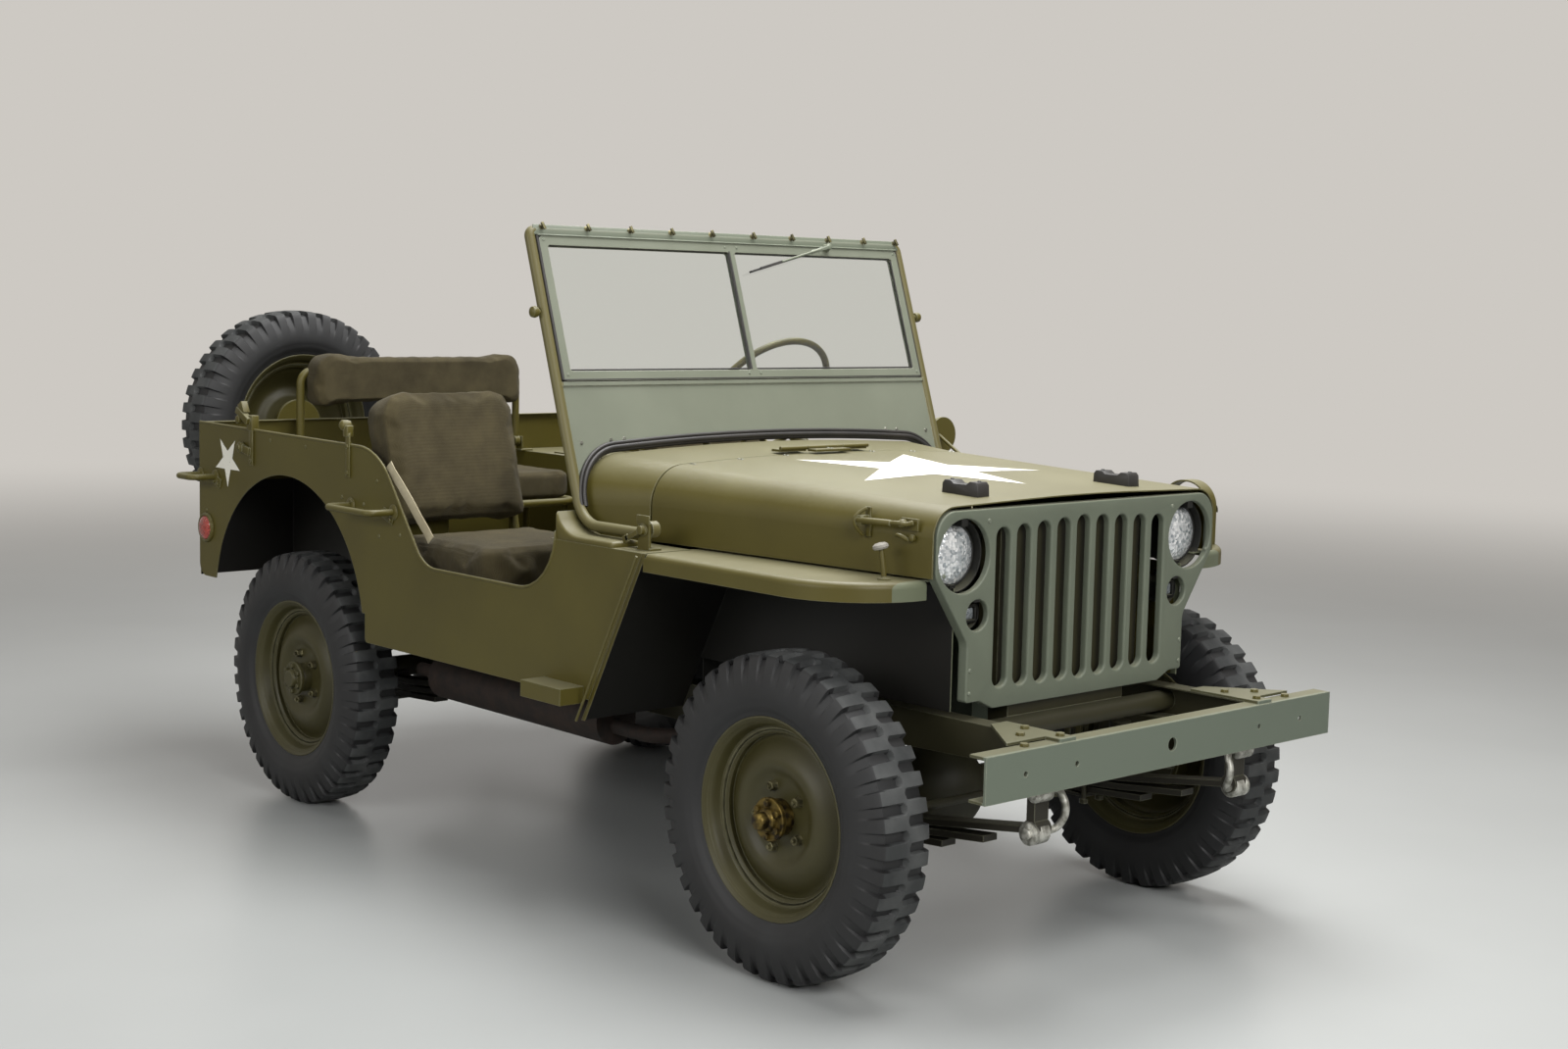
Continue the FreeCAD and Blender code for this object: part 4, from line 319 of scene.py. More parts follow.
CANVAS = canvas("seat_canvas", "#332d1b", "#4d452e")
WEBBING = canvas("cotton_webbing", "#9a8f74", "#b5ab90", thread=1.6)


def metal(name, first, second, scale, detail, spread, grain, looks, roughness=0.5):
    """Bare metal with an uneven film over it; grain is the bump's strength and height in metres."""
    material, tree, place = shader(name)
    film, tint = clouded(tree, place, scale, detail, spread, first, second, roughness)
    bump = put(tree, "Bump", {"Height": film, "Strength": grain[0], "Distance": grain[1]})
    return surface(material, {"Base Color": tint, "Normal": bump, **looks})


def oiled(name, bright, dull, roughness):
    """Machined or cast metal under a film of oil and dirt."""
    return metal(name, bright, dull, 60.0, 6.0, (0.38, 0.62), (0.2, 0.0006),
                 {"Metallic": 0.8, "Roughness": roughness})


# Mild steel left bare to heat and water: brown scale in blotches over dark iron, darkened further as painted
# shade under the car.
RUST_WITH_PAINTED_SHADE = metal("rusty_steel", "#171310", "#2c2019", 24.0, 8.0, (0.35, 0.65), (0.4, 0.001),
             {"Metallic": 0.35, "Roughness": 0.78}, roughness=0.7)
DULL_STEEL = oiled("zinc_plated_steel", "#8a8a80", "#55554c", 0.42)
WORN_STEEL = oiled("worn_painted_nuts", "#6f6a4e", "#3b3826", 0.5)
BRONZE = oiled("oily_bronze", "#6b5a2b", "#241c0e", 0.42)
SHACKLE = oiled("greasy_forged_steel", "#b9b8b0", "#77766d", 0.5)


def clear_glass(name):
    """Laminated float glass, clear with a faint green cast."""
    material, tree, place = shader(name)
    film = put(tree, "TexNoise", {"Vector": place, "Scale": 6.0, "Detail": 3.0})
    gloss = put(tree, "MapRange", [film, 0.0, 1.0, 0.01, 0.05])
    return surface(material, {"Base Color": "#f1f5f2", "Roughness": gloss, "Transmission Weight": 1.0,
                              "IOR": 1.5})


def pressed_glass(name, clear, shade, cell, metallic, roughness):
    """Pressed glass before a silvered bowl: prisms a few millimetres wide, each tilting the light."""
    material, tree, place = shader(name)
    prisms = put(tree, "TexVoronoi", {"Vector": place, "Scale": 1000.0 / cell, "Randomness": 0.75}).outputs
    tone = put(tree, "SeparateColor", [prisms["Color"]])
    tint = put(tree, "Mix", {0: tone, 6: clear, 7: shade}, data_type="RGBA")
    bump = put(tree, "Bump", {"Height": prisms["Distance"], "Strength": 0.9, "Distance": 0.002})
    return surface(material, {"Base Color": tint, "Metallic": metallic, "Roughness": roughness,
                              "Normal": bump, "Coat Weight": 0.6, "Coat Roughness": 0.05})


def stencil_paint(name):
    """Flat white stencil paint, chalked and scratched so that specks of olive show through."""
    material, tree, place = shader(name)
    chalk = put(tree, "TexNoise", {"Vector": place, "Scale": 14.0, "Detail": 8.0, "Roughness": 0.7})
    scratch = put(tree, "TexNoise", {"Vector": place, "Scale": 120.0, "Detail": 4.0})
    bare = put(tree, "Math", [chalk, scratch], operation="MULTIPLY")
    gone = put(tree, "MapRange", [bare, 0.17, 0.13])
    tint = put(tree, "Mix", {0: gone, 6: "#e9e6d9", 7: "#8b8569"}, data_type="RGBA")
    return surface(material, {"Base Color": tint, "Roughness": 0.62})


GLASS = clear_glass("clear_glass")
PRISM_GLASS = pressed_glass("pressed_lamp_glass", "#ffffff", "#9aa2a6", 7.0, 0.55, 0.16)
MARKER_GLASS = pressed_glass("marker_glass", "#8f9496", "#5f6466", 3.0, 0.2, 0.25)
RED_LENS = pressed_glass("red_reflector", "#b23a2a", "#7d2419", 3.5, 0.25, 0.2)
WHITE_PAINT = stencil_paint("white_stencil_paint")

# %% [markdown]
# ## Repeating round an axle
# Lugs, studs and spokes repeat in equal turns. One Geometry Nodes tree does that for any small mesh:
# it copies the mesh round an axle, makes the copies real, welds their shared edges and sets the finish.
# The alternative, a loop over rotated copies, is longer and leaves the seams open.

# %%
def geometry_tree(name, sockets):
    """A Geometry Nodes tree with a geometry in, named sizes and a geometry out."""
    tree = bpy.data.node_groups.new(name, "GeometryNodeTree")
    ways = [("Geometry", "INPUT", "Geometry")] + [(label, "INPUT", kind) for label, kind in sockets]
    for label, way, kind in ways + [("Geometry", "OUTPUT", "Geometry")]:
        tree.interface.new_socket(label, in_out=way, socket_type="NodeSocket" + kind)
    return tree, put(tree, "NodeGroupInput").outputs


def finish_tree(tree, instances, material, weld):
    """End a tree: real copies, welded seams, one material."""
    real = put(tree, "GeometryNodeRealizeInstances", [instances])
    welded = put(tree, "GeometryNodeMergeByDistance", {"Geometry": real, "Distance": weld})
    painted = put(tree, "GeometryNodeSetMaterial", {"Geometry": welded, "Material": material})
    put(tree, "NodeGroupOutput", [painted])


ROUND, given = geometry_tree("round_an_axle", [
    ("Count", "Int"), ("Centre", "Vector"), ("Axle", "Vector"), ("Material", "Material")])
share = put(ROUND, "Math", [put(ROUND, "GeometryNodeInputIndex"), given["Count"]], operation="DIVIDE")
angle = put(ROUND, "Math", [share, math.tau], operation="MULTIPLY")
turned = put(ROUND, "FunctionNodeAxisAngleToRotation", {"Axis": given["Axle"], "Angle": angle})
back = put(ROUND, "VectorMath", {0: given["Centre"], "Scale": -1.0}, operation="SCALE")
centred = put(ROUND, "GeometryNodeTransform", {"Geometry": given["Geometry"], "Translation": back})
points = put(ROUND, "GeometryNodePoints", {"Count": given["Count"], "Position": given["Centre"]})
copies = put(ROUND, "GeometryNodeInstanceOnPoints", {
    "Points": points, "Instance": centred, "Rotation": turned})
finish_tree(ROUND, copies, given["Material"], 0.0002)
print("tree", ROUND.name)


# %%
def plain(piece):
    """Keep a piece's evaluated mesh and drop its modifiers."""
    evaluated = piece.evaluated_get(bpy.context.evaluated_depsgraph_get())
    mesh = bpy.data.meshes.new_from_object(evaluated)
    piece.modifiers.clear()
    piece.data = mesh
    return piece


def settle(piece, tree, **sizes):
    """Run a tree on a piece and keep its result as a plain mesh."""
    modifier = piece.modifiers.new(tree.name, "NODES")
    modifier.node_group = tree
    labels = {item.name: item.identifier for item in tree.interface.items_tree if item.in_out == "INPUT"}
    for label, value in sizes.items():
        modifier[labels[label]] = value
    return plain(piece)


def hand_over(piece, body, sharp, stands_for=None):
    """Shade a piece smooth up to a sharp angle; give it its body and the node it replaces."""
    piece.data.polygons.foreach_set("use_smooth", [True] * len(piece.data.polygons))
    piece.data.set_sharp_from_angle(angle=math.radians(sharp))
    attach(piece, body)
    if stands_for:
        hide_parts(stands_for)
    print(piece.name, len(piece.data.polygons), "faces on", body)
    return piece


def middle_of(node):
    """The middle of a CAD node's box."""
    low, high = (Vector(corner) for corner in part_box(node))
    return (low + high) / 2


print("helpers for trees and shading")

# %% [markdown]
# ## Tyres
# The tyres are cross-ply with non-directional lugs: 40 bars on each shoulder, the two sides half a
# pitch apart, with U-shaped slots between them that run down the sidewall and fade out. One fortieth
# of the tyre is a grid over its section. Each grid point lies between the bottom of the slots and the
# tips of the lugs, and the distance to the slot's outline says where. The tree copies it round.

# %%
LUGS = 40
# A slot in mm: half its width, how soft its wall is, how far its round end lies from the tread's middle.
SLOT_HALF, SLOT_WALL, SLOT_END = 11.8, 3.2, 14.5
# Half of the section, from the middle of the tread to the bead. Columns in mm: distance from the
# middle, radius, how deep a slot is there.
SECTION = [
    (0.0, 360.0, 12.0), (3.0, 360.0, 12.0), (7.0, 360.0, 12.0), (14.0, 359.9, 12.0), (30.0, 359.4, 12.5),
    (48.0, 358.0, 13.0), (58.0, 356.4, 13.0), (63.5, 353.6, 12.0), (67.5, 347.5, 10.5), (71.0, 337.0, 8.0),
    (74.5, 324.0, 5.0), (77.5, 310.0, 2.2), (79.6, 297.0, 0.4), (80.6, 283.0, 0.0), (80.8, 270.0, 0.0),
    (79.2, 257.0, 0.0), (77.6, 253.5, 0.0), (77.4, 249.0, 0.0), (74.0, 241.5, 0.0), (69.5, 234.0, 0.0),
    (66.5, 229.5, 0.0), (66.0, 226.5, 0.0), (63.5, 222.0, 0.0), (57.0, 216.0, 0.0), (50.0, 205.0, 0.0),
]
# How far across a lug's pitch the grid's columns lie, in mm; the rest mirrors them.
ACROSS = [0.0, 6.5, 10.2, 13.4, 14.5, 17.7, 21.4, 27.9]
# From here out, within the slots and on the lugs, the rubber is dusty tread.
TREAD_FROM = max(row[1] for row in SECTION) / 1000 - 0.009


def slot_share(aside, across):
    """0 at the bottom of a slot, 1 on a lug."""
    outside = math.hypot(across, max(0.0, SLOT_END - aside)) - SLOT_HALF
    return min(1.0, max(0.0, 0.5 + outside / SLOT_WALL))


def tyre_sector(middle, axle):
    """One fortieth of a tyre at its place; the axle is 0 for X or 1 for Y."""
    bm = bmesh.new()
    rows = [(-aside, radius, deep) for aside, radius, deep in reversed(SECTION[1:])] + SECTION
    columns = [-a for a in reversed(ACROSS[1:])] + ACROSS
    grid = []
    for aside, radius, deep in rows:
        line = []
        lean = (1.0, 0.0) if abs(aside) < 60 else (0.8, 0.6)
        for across in columns:
            from_slot = abs(across) if aside >= 0 else ACROSS[-1] - abs(across)
            sunk = deep * (1.0 - slot_share(abs(aside), from_slot))
            r = (radius - sunk * lean[0]) / 1000
            y = (aside - math.copysign(sunk * lean[1], aside)) / 1000
            a = across / (ACROSS[-1] * 2) * math.tau / LUGS
            spot = (r * math.sin(a), y) if axle == 1 else (y, r * math.sin(a))
            line.append(bm.verts.new(middle + Vector((*spot, r * math.cos(a)))))
        grid.append(line)
    for j in range(len(columns) - 1):
        for low, high in zip(grid, grid[1:]):
            bm.faces.new((low[j], low[j + 1], high[j + 1], high[j]))
        bm.faces.new((grid[0][j + 1], grid[0][j], grid[-1][j], grid[-1][j + 1]))
    bm.normal_update()
    return bm


def reworked(piece, change):
    """Change a piece's mesh as a bmesh."""
    bm = bmesh.new()
    bm.from_mesh(piece.data)
    change(bm)
    bm.to_mesh(piece.data)
    bm.free()


# %%
# Columns: where the wheel is, its body, the way that its outer face looks.
WHEELS = [("front_right", "front_right_wheel", (0, -1, 0)), ("front_left", "front_left_wheel", (0, 1, 0)),
          ("rear_right", "rear_right_wheel", (0, -1, 0)), ("rear_left", "rear_left_wheel", (0, 1, 0)),
          ("spare", "chassis", (-1, 0, 0))]
for name, body, outward in WHEELS:
    axle = 1 if outward[1] else 0
    middle = middle_of("tyre_" + name)
    tyre = mesh_object("lugged_tyre_" + name, tyre_sector(middle, axle), None)
    settle(tyre, ROUND, Count=LUGS, Centre=middle, Axle=(0, 1, 0) if axle else (1, 0, 0), Material=TYRE)
    reworked(tyre, lambda bm: bmesh.ops.recalc_face_normals(bm, faces=bm.faces))
    tyre.data.materials.clear()
    for material in (TYRE, TREAD):
        tyre.data.materials.append(material)
    for face in tyre.data.polygons:
        spoke = face.center - middle
        spoke[axle] = 0.0
        face.material_index = 1 if spoke.length > TREAD_FROM else 0
    hand_over(tyre, body, 30, "tyre_" + name)

# %% [markdown]
# ## A small workshop
# Most fittings are turned, bent or sawn. Three helpers do that: one turns a profile round an axis, one
# bends round bar along a spline, one cuts a block. A last one finishes a piece: rounded edges, smooth
# shading and the body it moves with.

# %%
def ladder(bm, low, high):
    """Close the gap between two rings of points; a ring may be a single point."""
    turns = max(len(low), len(high))
    for i in range(turns):
        j = (i + 1) % turns
        corners = [low[i % len(low)], low[j % len(low)], high[j % len(high)], high[i % len(high)]]
        corners = list(dict.fromkeys(corners))
        if len(corners) > 2:
            bm.faces.new(corners)


def lathe(bm, profile, base, axis, turns=24, ring=False):
    """Turn rows of (along the axis, radius) round an axis from a base point; a ring joins its ends."""
    axis = Vector(axis).normalized()
    side = axis.orthogonal().normalized()
    up = axis.cross(side)
    rings = []
    for along, radius in profile:
        centre = Vector(base) + axis * along
        angles = [math.tau * i / turns for i in range(turns)] if radius > 1e-6 else [0.0]
        rings.append([bm.verts.new(centre + (side * math.cos(a) + up * math.sin(a)) * radius)
                      for a in angles])
    for low, high in zip(rings, rings[1:] + (rings[:1] if ring else [])):
        ladder(bm, low, high)


def block(bm, middle, sizes, turn=None):
    """A rectangular block about its middle, turned by a rotation matrix if one is given."""
    turn = turn.to_4x4() if turn else Matrix.Identity(4)
    scale = Matrix.Diagonal((*sizes, 1.0))
    bmesh.ops.create_cube(bm, size=1.0, matrix=Matrix.Translation(Vector(middle)) @ turn @ scale)


def prism(bm, low, high):
    """A closed solid between two outlines with as many corners."""
    low, high = ([bm.verts.new(corner) for corner in outline] for outline in (low, high))
    bm.faces.new(list(reversed(low)))
    bm.faces.new(high)
    ladder(bm, low, high)


def round_bar(bm, *runs):
    """Round bar; each run is a radius, its points, and "eased" if its bends are."""
    curve = bpy.data.curves.new("bar", "CURVE")
    curve.dimensions = "3D"
    curve.bevel_depth, curve.bevel_resolution, curve.resolution_u = 1.0, 3, 10
    curve.use_fill_caps = True
    for radius, places, *eased in runs:
        spline = curve.splines.new("NURBS" if eased else "POLY")
        spline.points.add(len(places) - 1)
        for point, place in zip(spline.points, places):
            point.co = (*place, 1.0)
            point.radius = radius
        if eased:
            spline.order_u = 3
            spline.use_endpoint_u = True
    holder = stand("bar", curve)
    bm.from_mesh(bpy.data.meshes.new_from_object(holder.evaluated_get(bpy.context.evaluated_depsgraph_get())))
    bpy.data.objects.remove(holder)


def dress(name, bm, material, body, bevel=0.0, sharp=40.0, stands_for=None):
    """Finish a piece: outward faces, rounded edges, shading, body and the node it replaces."""
    bmesh.ops.remove_doubles(bm, verts=bm.verts, dist=0.00002)
    bmesh.ops.recalc_face_normals(bm, faces=bm.faces)
    piece = mesh_object(name, bm, material)
    if bevel:
        rounding = piece.modifiers.new("rounding", "BEVEL")
        rounding.width, rounding.segments = bevel, 2
        rounding.limit_method, rounding.angle_limit = "ANGLE", math.radians(40)
        plain(piece)
    return hand_over(piece, body, sharp, stands_for)


def both_sides(make):
    """Build the left-hand and the right-hand piece in one mesh; make takes the mesh and the side."""
    bm = bmesh.new()
    for side in (-1, 1):
        make(bm, side)
    return bm


def mirrored(make):
    """Build a right-hand piece and its mirror image in one mesh."""
    bm = bmesh.new()
    make(bm)
    bmesh.ops.recalc_face_normals(bm, faces=bm.faces)
    twin = bm.copy()
    for vertex in twin.verts:
        vertex.co.y = -vertex.co.y
    bmesh.ops.reverse_faces(twin, faces=twin.faces)
    scratch = bpy.data.meshes.new("twin")
    twin.to_mesh(scratch)
    twin.free()
    bm.from_mesh(scratch)
    return bm


# %% [markdown]
# ## Screws and rivets
# Heads of screws, bolts and rivets are one small form set on many points. Each point carries the
# direction it faces. The tree makes one head from its sizes and stands it on every point.

# %%
HEADS, given = geometry_tree("heads", [
    ("Sides", "Int"), ("Radius", "Float"), ("Top", "Float"), ("Height", "Float"), ("Material", "Material")])
facing = put(HEADS, "GeometryNodeInputNamedAttribute", {"Name": "facing"}, data_type="FLOAT_VECTOR")
upright = put(HEADS, "FunctionNodeAlignRotationToVector", {"Vector": facing}, axis="Z")
head = put(HEADS, "GeometryNodeMeshCone", {"Vertices": given["Sides"], "Radius Top": given["Top"],
                                           "Radius Bottom": given["Radius"], "Depth": given["Height"]})
copies = put(HEADS, "GeometryNodeInstanceOnPoints", {
    "Points": given["Geometry"], "Instance": head, "Rotation": upright})
finish_tree(HEADS, copies, given["Material"], 0.00002)


def heads(name, places, body, material, radius, height, sides=6, taper=0.9):
    """Screw, bolt or rivet heads; each place is a point and the direction that it faces."""
    mesh = bpy.data.meshes.new(name)
    mesh.from_pydata([tuple(point) for point, _ in places], [], [])
    towards = mesh.attributes.new("facing", "FLOAT_VECTOR", "POINT")
    for item, (_, direction) in zip(towards.data, places):
        item.vector = Vector(direction).normalized()
    piece = settle(stand(name, mesh), HEADS, Sides=sides, Radius=radius, Top=radius * taper, Height=height,
                   Material=material)
    return hand_over(piece, body, 40)


print("tree", HEADS.name)

# %% [markdown]
# ## Cushions
# The front seats and the rear bench have loose cushions of hair and springs in canvas covers. A cover
# is cut to a box with rounded corners and pulls in between them, its top crowned by the filling. A
# cloth simulation does that by itself: a slightly small copy of the form is blown up from inside, and
# no point may move further than the filling could push it. Seams come after, because the remesh that
# the simulation needs would melt them away.

# %%
# Columns: CAD cushion, body, which way is out of its padded face, swelling in metres, and how much larger
# than the filling the cover is: behind it, and beyond the low and the high side of its box.
CUSHIONS = [
    ("passenger_cushion", "passenger_seat", (0, 0, 1), 0.022, 0, (0.004, 0.022, 0.014), (0.012, 0.004, 0)),
    ("passenger_back_pad", "passenger_seat", (1, 0, 0.25), 0.014, 0.045, (0, 0.026, 0), (0, 0, 0.016)),
    ("driver_cushion", "chassis", (0, 0, 1), 0.022, 0, (0.004, 0.004, 0.014), (0.012, 0.022, 0)),
    ("driver_back_pad", "chassis", (1, 0, 0.25), 0.014, 0.045, (0, 0, 0), (0, 0.026, 0.016)),
    ("bench_cushion", "chassis", (0, 0, 1), 0.016, 0, (0, 0.008, 0), (0.008, 0.008, 0)),
    ("bench_back_pad", "bench_back", (1, 0, 0), 0.014, 0.026, (0, 0.022, 0.014), (0, 0.012, 0.016)),
]
NET, QUICK_NET = 0.0075, 0.012
SHRINK = 0.007
FRAMES = 20


def cad_copy(node):
    """A CAD node's mesh as a bmesh of our own, its triangles joined."""
    bm = bmesh.new()
    bm.from_mesh(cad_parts[node].data)
    bmesh.ops.remove_doubles(bm, verts=bm.verts, dist=0.00005)
    return bm


def normals_of(piece):
    """The directions out of a piece at its points."""
    return [normal.vector.copy() for normal in piece.data.vertex_normals]


def box_of(mesh):
    """The lowest and the highest corner of a mesh."""
    places = [v.co for v in mesh.vertices]
    return tuple([end(place[axis] for place in places) for axis in range(3)] for end in (min, max))


def blow_up(piece, cap):
    """Fill a closed cover with air until it is taut, moving no point further than the cap."""
    before = [v.co.copy() for v in piece.data.vertices]
    cloth = piece.modifiers.new("filling", "CLOTH")
    cloth.settings.use_pressure = True
    cloth.settings.uniform_pressure_force = 4.0
    cloth.settings.effector_weights.gravity = 0.0
    cloth.settings.quality = 4
    cloth.point_cache.frame_start, cloth.point_cache.frame_end = 1, FRAMES
    for frame_number in range(1, FRAMES + 1):
        bpy.context.scene.frame_set(frame_number)
    evaluated = piece.evaluated_get(bpy.context.evaluated_depsgraph_get())
    after = [v.co.copy() for v in evaluated.data.vertices]
    piece.modifiers.clear()
    for vertex, start, end in zip(piece.data.vertices, before, after):
        move = end - start
        vertex.co = start + move * min(1.0, cap / max(move.length, 1e-9))
    bpy.context.scene.frame_set(1)


def cut_larger(piece, facing, back, below, above):
    """Move a form's back away from its padded face, and its sides out, as its cover is cut."""
    facing = Vector(facing).normalized()
    low, high = box_of(piece.data)
    for vertex, normal in zip(piece.data.vertices, normals_of(piece)):
        place = vertex.co.copy()
        turned = min(1.0, max(0.0, (0.3 - normal.dot(facing)) / 0.6))
        moved = place - facing * back * turned
        for axis in range(3):
            share = (place[axis] - low[axis]) / (high[axis] - low[axis])
            moved[axis] += above[axis] * share - below[axis] * (1 - share)
        vertex.co = moved
    return box_of(piece.data)


def relax(piece, rounds):
    """Even out a net of points without shrinking its outline much."""
    def change(bm):
        for _ in range(rounds):
            bmesh.ops.smooth_vert(bm, verts=bm.verts, factor=0.5, use_axis_x=True, use_axis_y=True,
                                  use_axis_z=True)
    reworked(piece, change)


# %%
# The seam is where the cover turns away from its padded face by this much. Its folds are waves of two
# lengths in mm. Both are pressed in by metres.
SEAM_LEAN, SEAM_WIDTH, SEAM_DEPTH = 0.45, 0.10, 0.0022
FOLD_LENGTHS, FOLD_DEPTH = (61.0, 83.0), 0.0013


def crease_and_wrinkle(piece, box, facing, seed):
    """Press the flat-felled seam round the padded face and the slack folds beside it."""
    low, high = (Vector(c) for c in box)
    middle, half = (low + high) / 2, (high - low) / 2
    facing = Vector(facing).normalized()
    thin = max(range(3), key=lambda axis: abs(facing[axis]))
    wide = [axis for axis in range(3) if axis != thin]
    for vertex, normal in zip(piece.data.vertices, normals_of(piece)):
        place = vertex.co
        lean = normal.dot(facing)
        folds = 0.0
        for index, (axis, length) in enumerate(zip(wide, FOLD_LENGTHS)):
            phase = place[axis] * math.tau * 1000 / length + seed * 1.7 + index
            sway = math.sin(place[thin] * 41.0 + seed) * 1.4
            folds += math.sin(phase + sway) * math.sin(phase * 0.37 + seed)
        beside = max(0.0, 1.0 - abs(lean)) ** 1.5
        near_edge = max(abs(place[a] - middle[a]) / half[a] for a in wide)
        slack = FOLD_DEPTH * folds * (beside + 0.35 * max(0.0, near_edge - 0.55))
        dip = SEAM_DEPTH * math.exp(-((lean - SEAM_LEAN) / SEAM_WIDTH) ** 2)
        vertex.co = place - normal * (dip - slack)
    piece.data.update()


for seed, (node, body, facing, cap, back, below, above) in enumerate(CUSHIONS):
    name = node.replace("cushion", "soft_cushion").replace("pad", "soft_pad")
    cushion = mesh_object(name, cad_copy(node), None)
    room = cut_larger(cushion, facing, back, below, above)
    net = cushion.modifiers.new("net", "REMESH")
    net.mode, net.voxel_size = "VOXEL", NET
    plain(cushion)
    for vertex, normal in zip(cushion.data.vertices, normals_of(cushion)):
        vertex.co -= normal * SHRINK
    relax(cushion, 12)
    blow_up(cushion, cap)
    relax(cushion, 2)
    crease_and_wrinkle(cushion, room, facing, seed)
    for vertex in cushion.data.vertices:
        vertex.co = [min(max(value, least), most) for value, least, most in zip(vertex.co, *room)]
    finer = cushion.modifiers.new("finer", "SUBSURF")
    finer.levels = finer.render_levels = 1
    plain(cushion)
    cushion.data.materials.clear()
    cushion.data.materials.append(CANVAS)
    hand_over(cushion, body, 180, node)

# %% [markdown]
# ## Windshield
# The windshield's solids stand. What makes it a windshield is small: the rubber between sash and frame,
# the seal that follows the cowl, the studs for the canvas top, a hand wiper and the sash's catches.
# All of it is set out on the frame's slanted plane, so one function gives a place on that plane.

# %%
LEAN = math.radians(18.45)
SCREEN_TOP_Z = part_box("windshield_frame")[1][2] - 0.002
SCREEN_TOP_X = 0.162
screen_out = Vector((math.cos(LEAN), 0, math.sin(LEAN)))
leaning = Matrix.Rotation(-LEAN, 3, "Y")


def on_screen(y, z, out=0.0):
    """A place on the windshield's plane at a side and a height, some way in front of it."""
    return Vector((SCREEN_TOP_X + (SCREEN_TOP_Z - z) * math.tan(LEAN), y, z)) + screen_out * out


# The seal: two beads side by side along the cowl's outline, and a lip on each side.
COWL_HALF, SHOULDER = 0.619, 0.120
COWL_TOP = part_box("cowl")[1][2]
# The crown of the cowl falls by the square of the distance from its middle over this many metres.
CROWN = 15.2


def cowl_arch(gap, steps=9):
    """Side and height along the cowl's outline, from low on the right to low on the left."""
    crown = lambda y: COWL_TOP - y * y / CROWN + gap
    bend = COWL_HALF - SHOULDER
    right = [(-(COWL_HALF + gap), 0.962), (-(COWL_HALF + gap), 0.975)]
    for i in range(1, steps):
        a = math.pi / 2 * i / steps
        right.append((-(bend + (SHOULDER + gap) * math.cos(a)),
                      crown(bend) - SHOULDER - gap + (SHOULDER + gap) * math.sin(a)))
    top = [(y, crown(y)) for y in (-bend, -0.35, -0.2, 0.0, 0.2, 0.35, bend)]
    return right + top + [(-y, z) for y, z in reversed(right)]


bm = bmesh.new()
for gap, radius, out in ((0.008, 0.0062, 0.013), (0.018, 0.0052, 0.011), (0.003, 0.006, 0.006)):
    round_bar(bm, (radius, [on_screen(y, z, out) for y, z in cowl_arch(gap)], "eased"))
dress("cowl_seal", bm, BLACK_RUBBER, "windshield")

# %%
# Rubber round the sash and round each pane, and the dark joint beside the middle bar.
sash_low, sash_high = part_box("windshield_sash")
glass_low, glass_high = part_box("windshield_glass")
SASH_HALF, SASH_LOW_Z, SASH_TOP_Z = sash_high[1], sash_low[2] + 0.005, sash_high[2] - 0.003
bm = bmesh.new()
for y0, y1, z0, z1, radius, out in (
        (-SASH_HALF, SASH_HALF, SASH_LOW_Z, SASH_TOP_Z, 0.0052, 0.0075),
        (-0.597, -0.0105, glass_low[2] + 0.004, glass_high[2] - 0.002, 0.0022, 0.0078),
        (0.0105, 0.597, glass_low[2] + 0.004, glass_high[2] - 0.002, 0.0022, 0.0078)):
    ring = [on_screen(y, z, out) for y, z in ((y0, z0), (y1, z0), (y1, z1), (y0, z1))]
    for start, end in zip(ring, ring[1:] + ring[:1]):
        round_bar(bm, (radius, [start, end]))
round_bar(bm, (0.0030, [on_screen(-0.0085, z, 0.0112) for z in (SASH_LOW_Z + 0.022, SASH_TOP_Z - 0.022)]))
dress("sash_rubber", bm, BLACK_RUBBER, "windshield")

# %%
# The header: a flat channel along the top tube with ten turn studs for the canvas top.
TUBE_Y = 0.637
bm = bmesh.new()
block(bm, on_screen(0.0, SCREEN_TOP_Z - 0.012, 0.0115), (0.003, TUBE_Y * 2 - 0.012, 0.026), leaning)
block(bm, on_screen(0.0, SCREEN_TOP_Z - 0.0255, 0.0135), (0.006, TUBE_Y * 2 - 0.030, 0.003), leaning)
dress("header_channel", bm, GREY_GREEN, "windshield", bevel=0.0008)
STUD = [(0.0, 0.0), (0.0, 0.0075), (0.0015, 0.0075), (0.0020, 0.0036), (0.0090, 0.0036), (0.0093, 0.0)]
bm = bmesh.new()
for y in (-0.607, -0.468, -0.332, -0.198, -0.062, 0.083, 0.222, 0.358, 0.494, 0.620):
    foot = on_screen(y, SCREEN_TOP_Z - 0.006, 0.012)
    lathe(bm, STUD, foot, screen_out, 12)
    block(bm, foot + screen_out * 0.0115, (0.0055, 0.0065, 0.0190), Matrix.Rotation(0.35, 3, "X") @ leaning)
dress("turn_studs", bm, WORN_STEEL, "windshield", bevel=0.0006)

# %%
# The hand wiper on the driver's pane: arm, blade holder and rubber; and the sash's side catches.
pivot, tip = on_screen(0.346, 1.606, 0.030), on_screen(0.046, 1.533, 0.027)
bm = bmesh.new()
lathe(bm, [(0.0, 0.0), (0.0, 0.011), (0.004, 0.012), (0.012, 0.009), (0.020, 0.009), (0.023, 0.0)],
      on_screen(0.346, 1.606, 0.012), screen_out, 16)
round_bar(bm, (0.0032, [pivot.lerp(tip, share) for share in (0, 0.5, 0.62)]))
droop = Matrix.Rotation(math.atan2(0.073, 0.300), 3, "X")
block(bm, pivot.lerp(tip, 0.12), (0.004, 0.070, 0.010), droop @ leaning)
dress("wiper_arm", bm, GREY_GREEN, "windshield", bevel=0.0006)
along = (tip - pivot).normalized()
start = pivot.lerp(tip, 0.26)
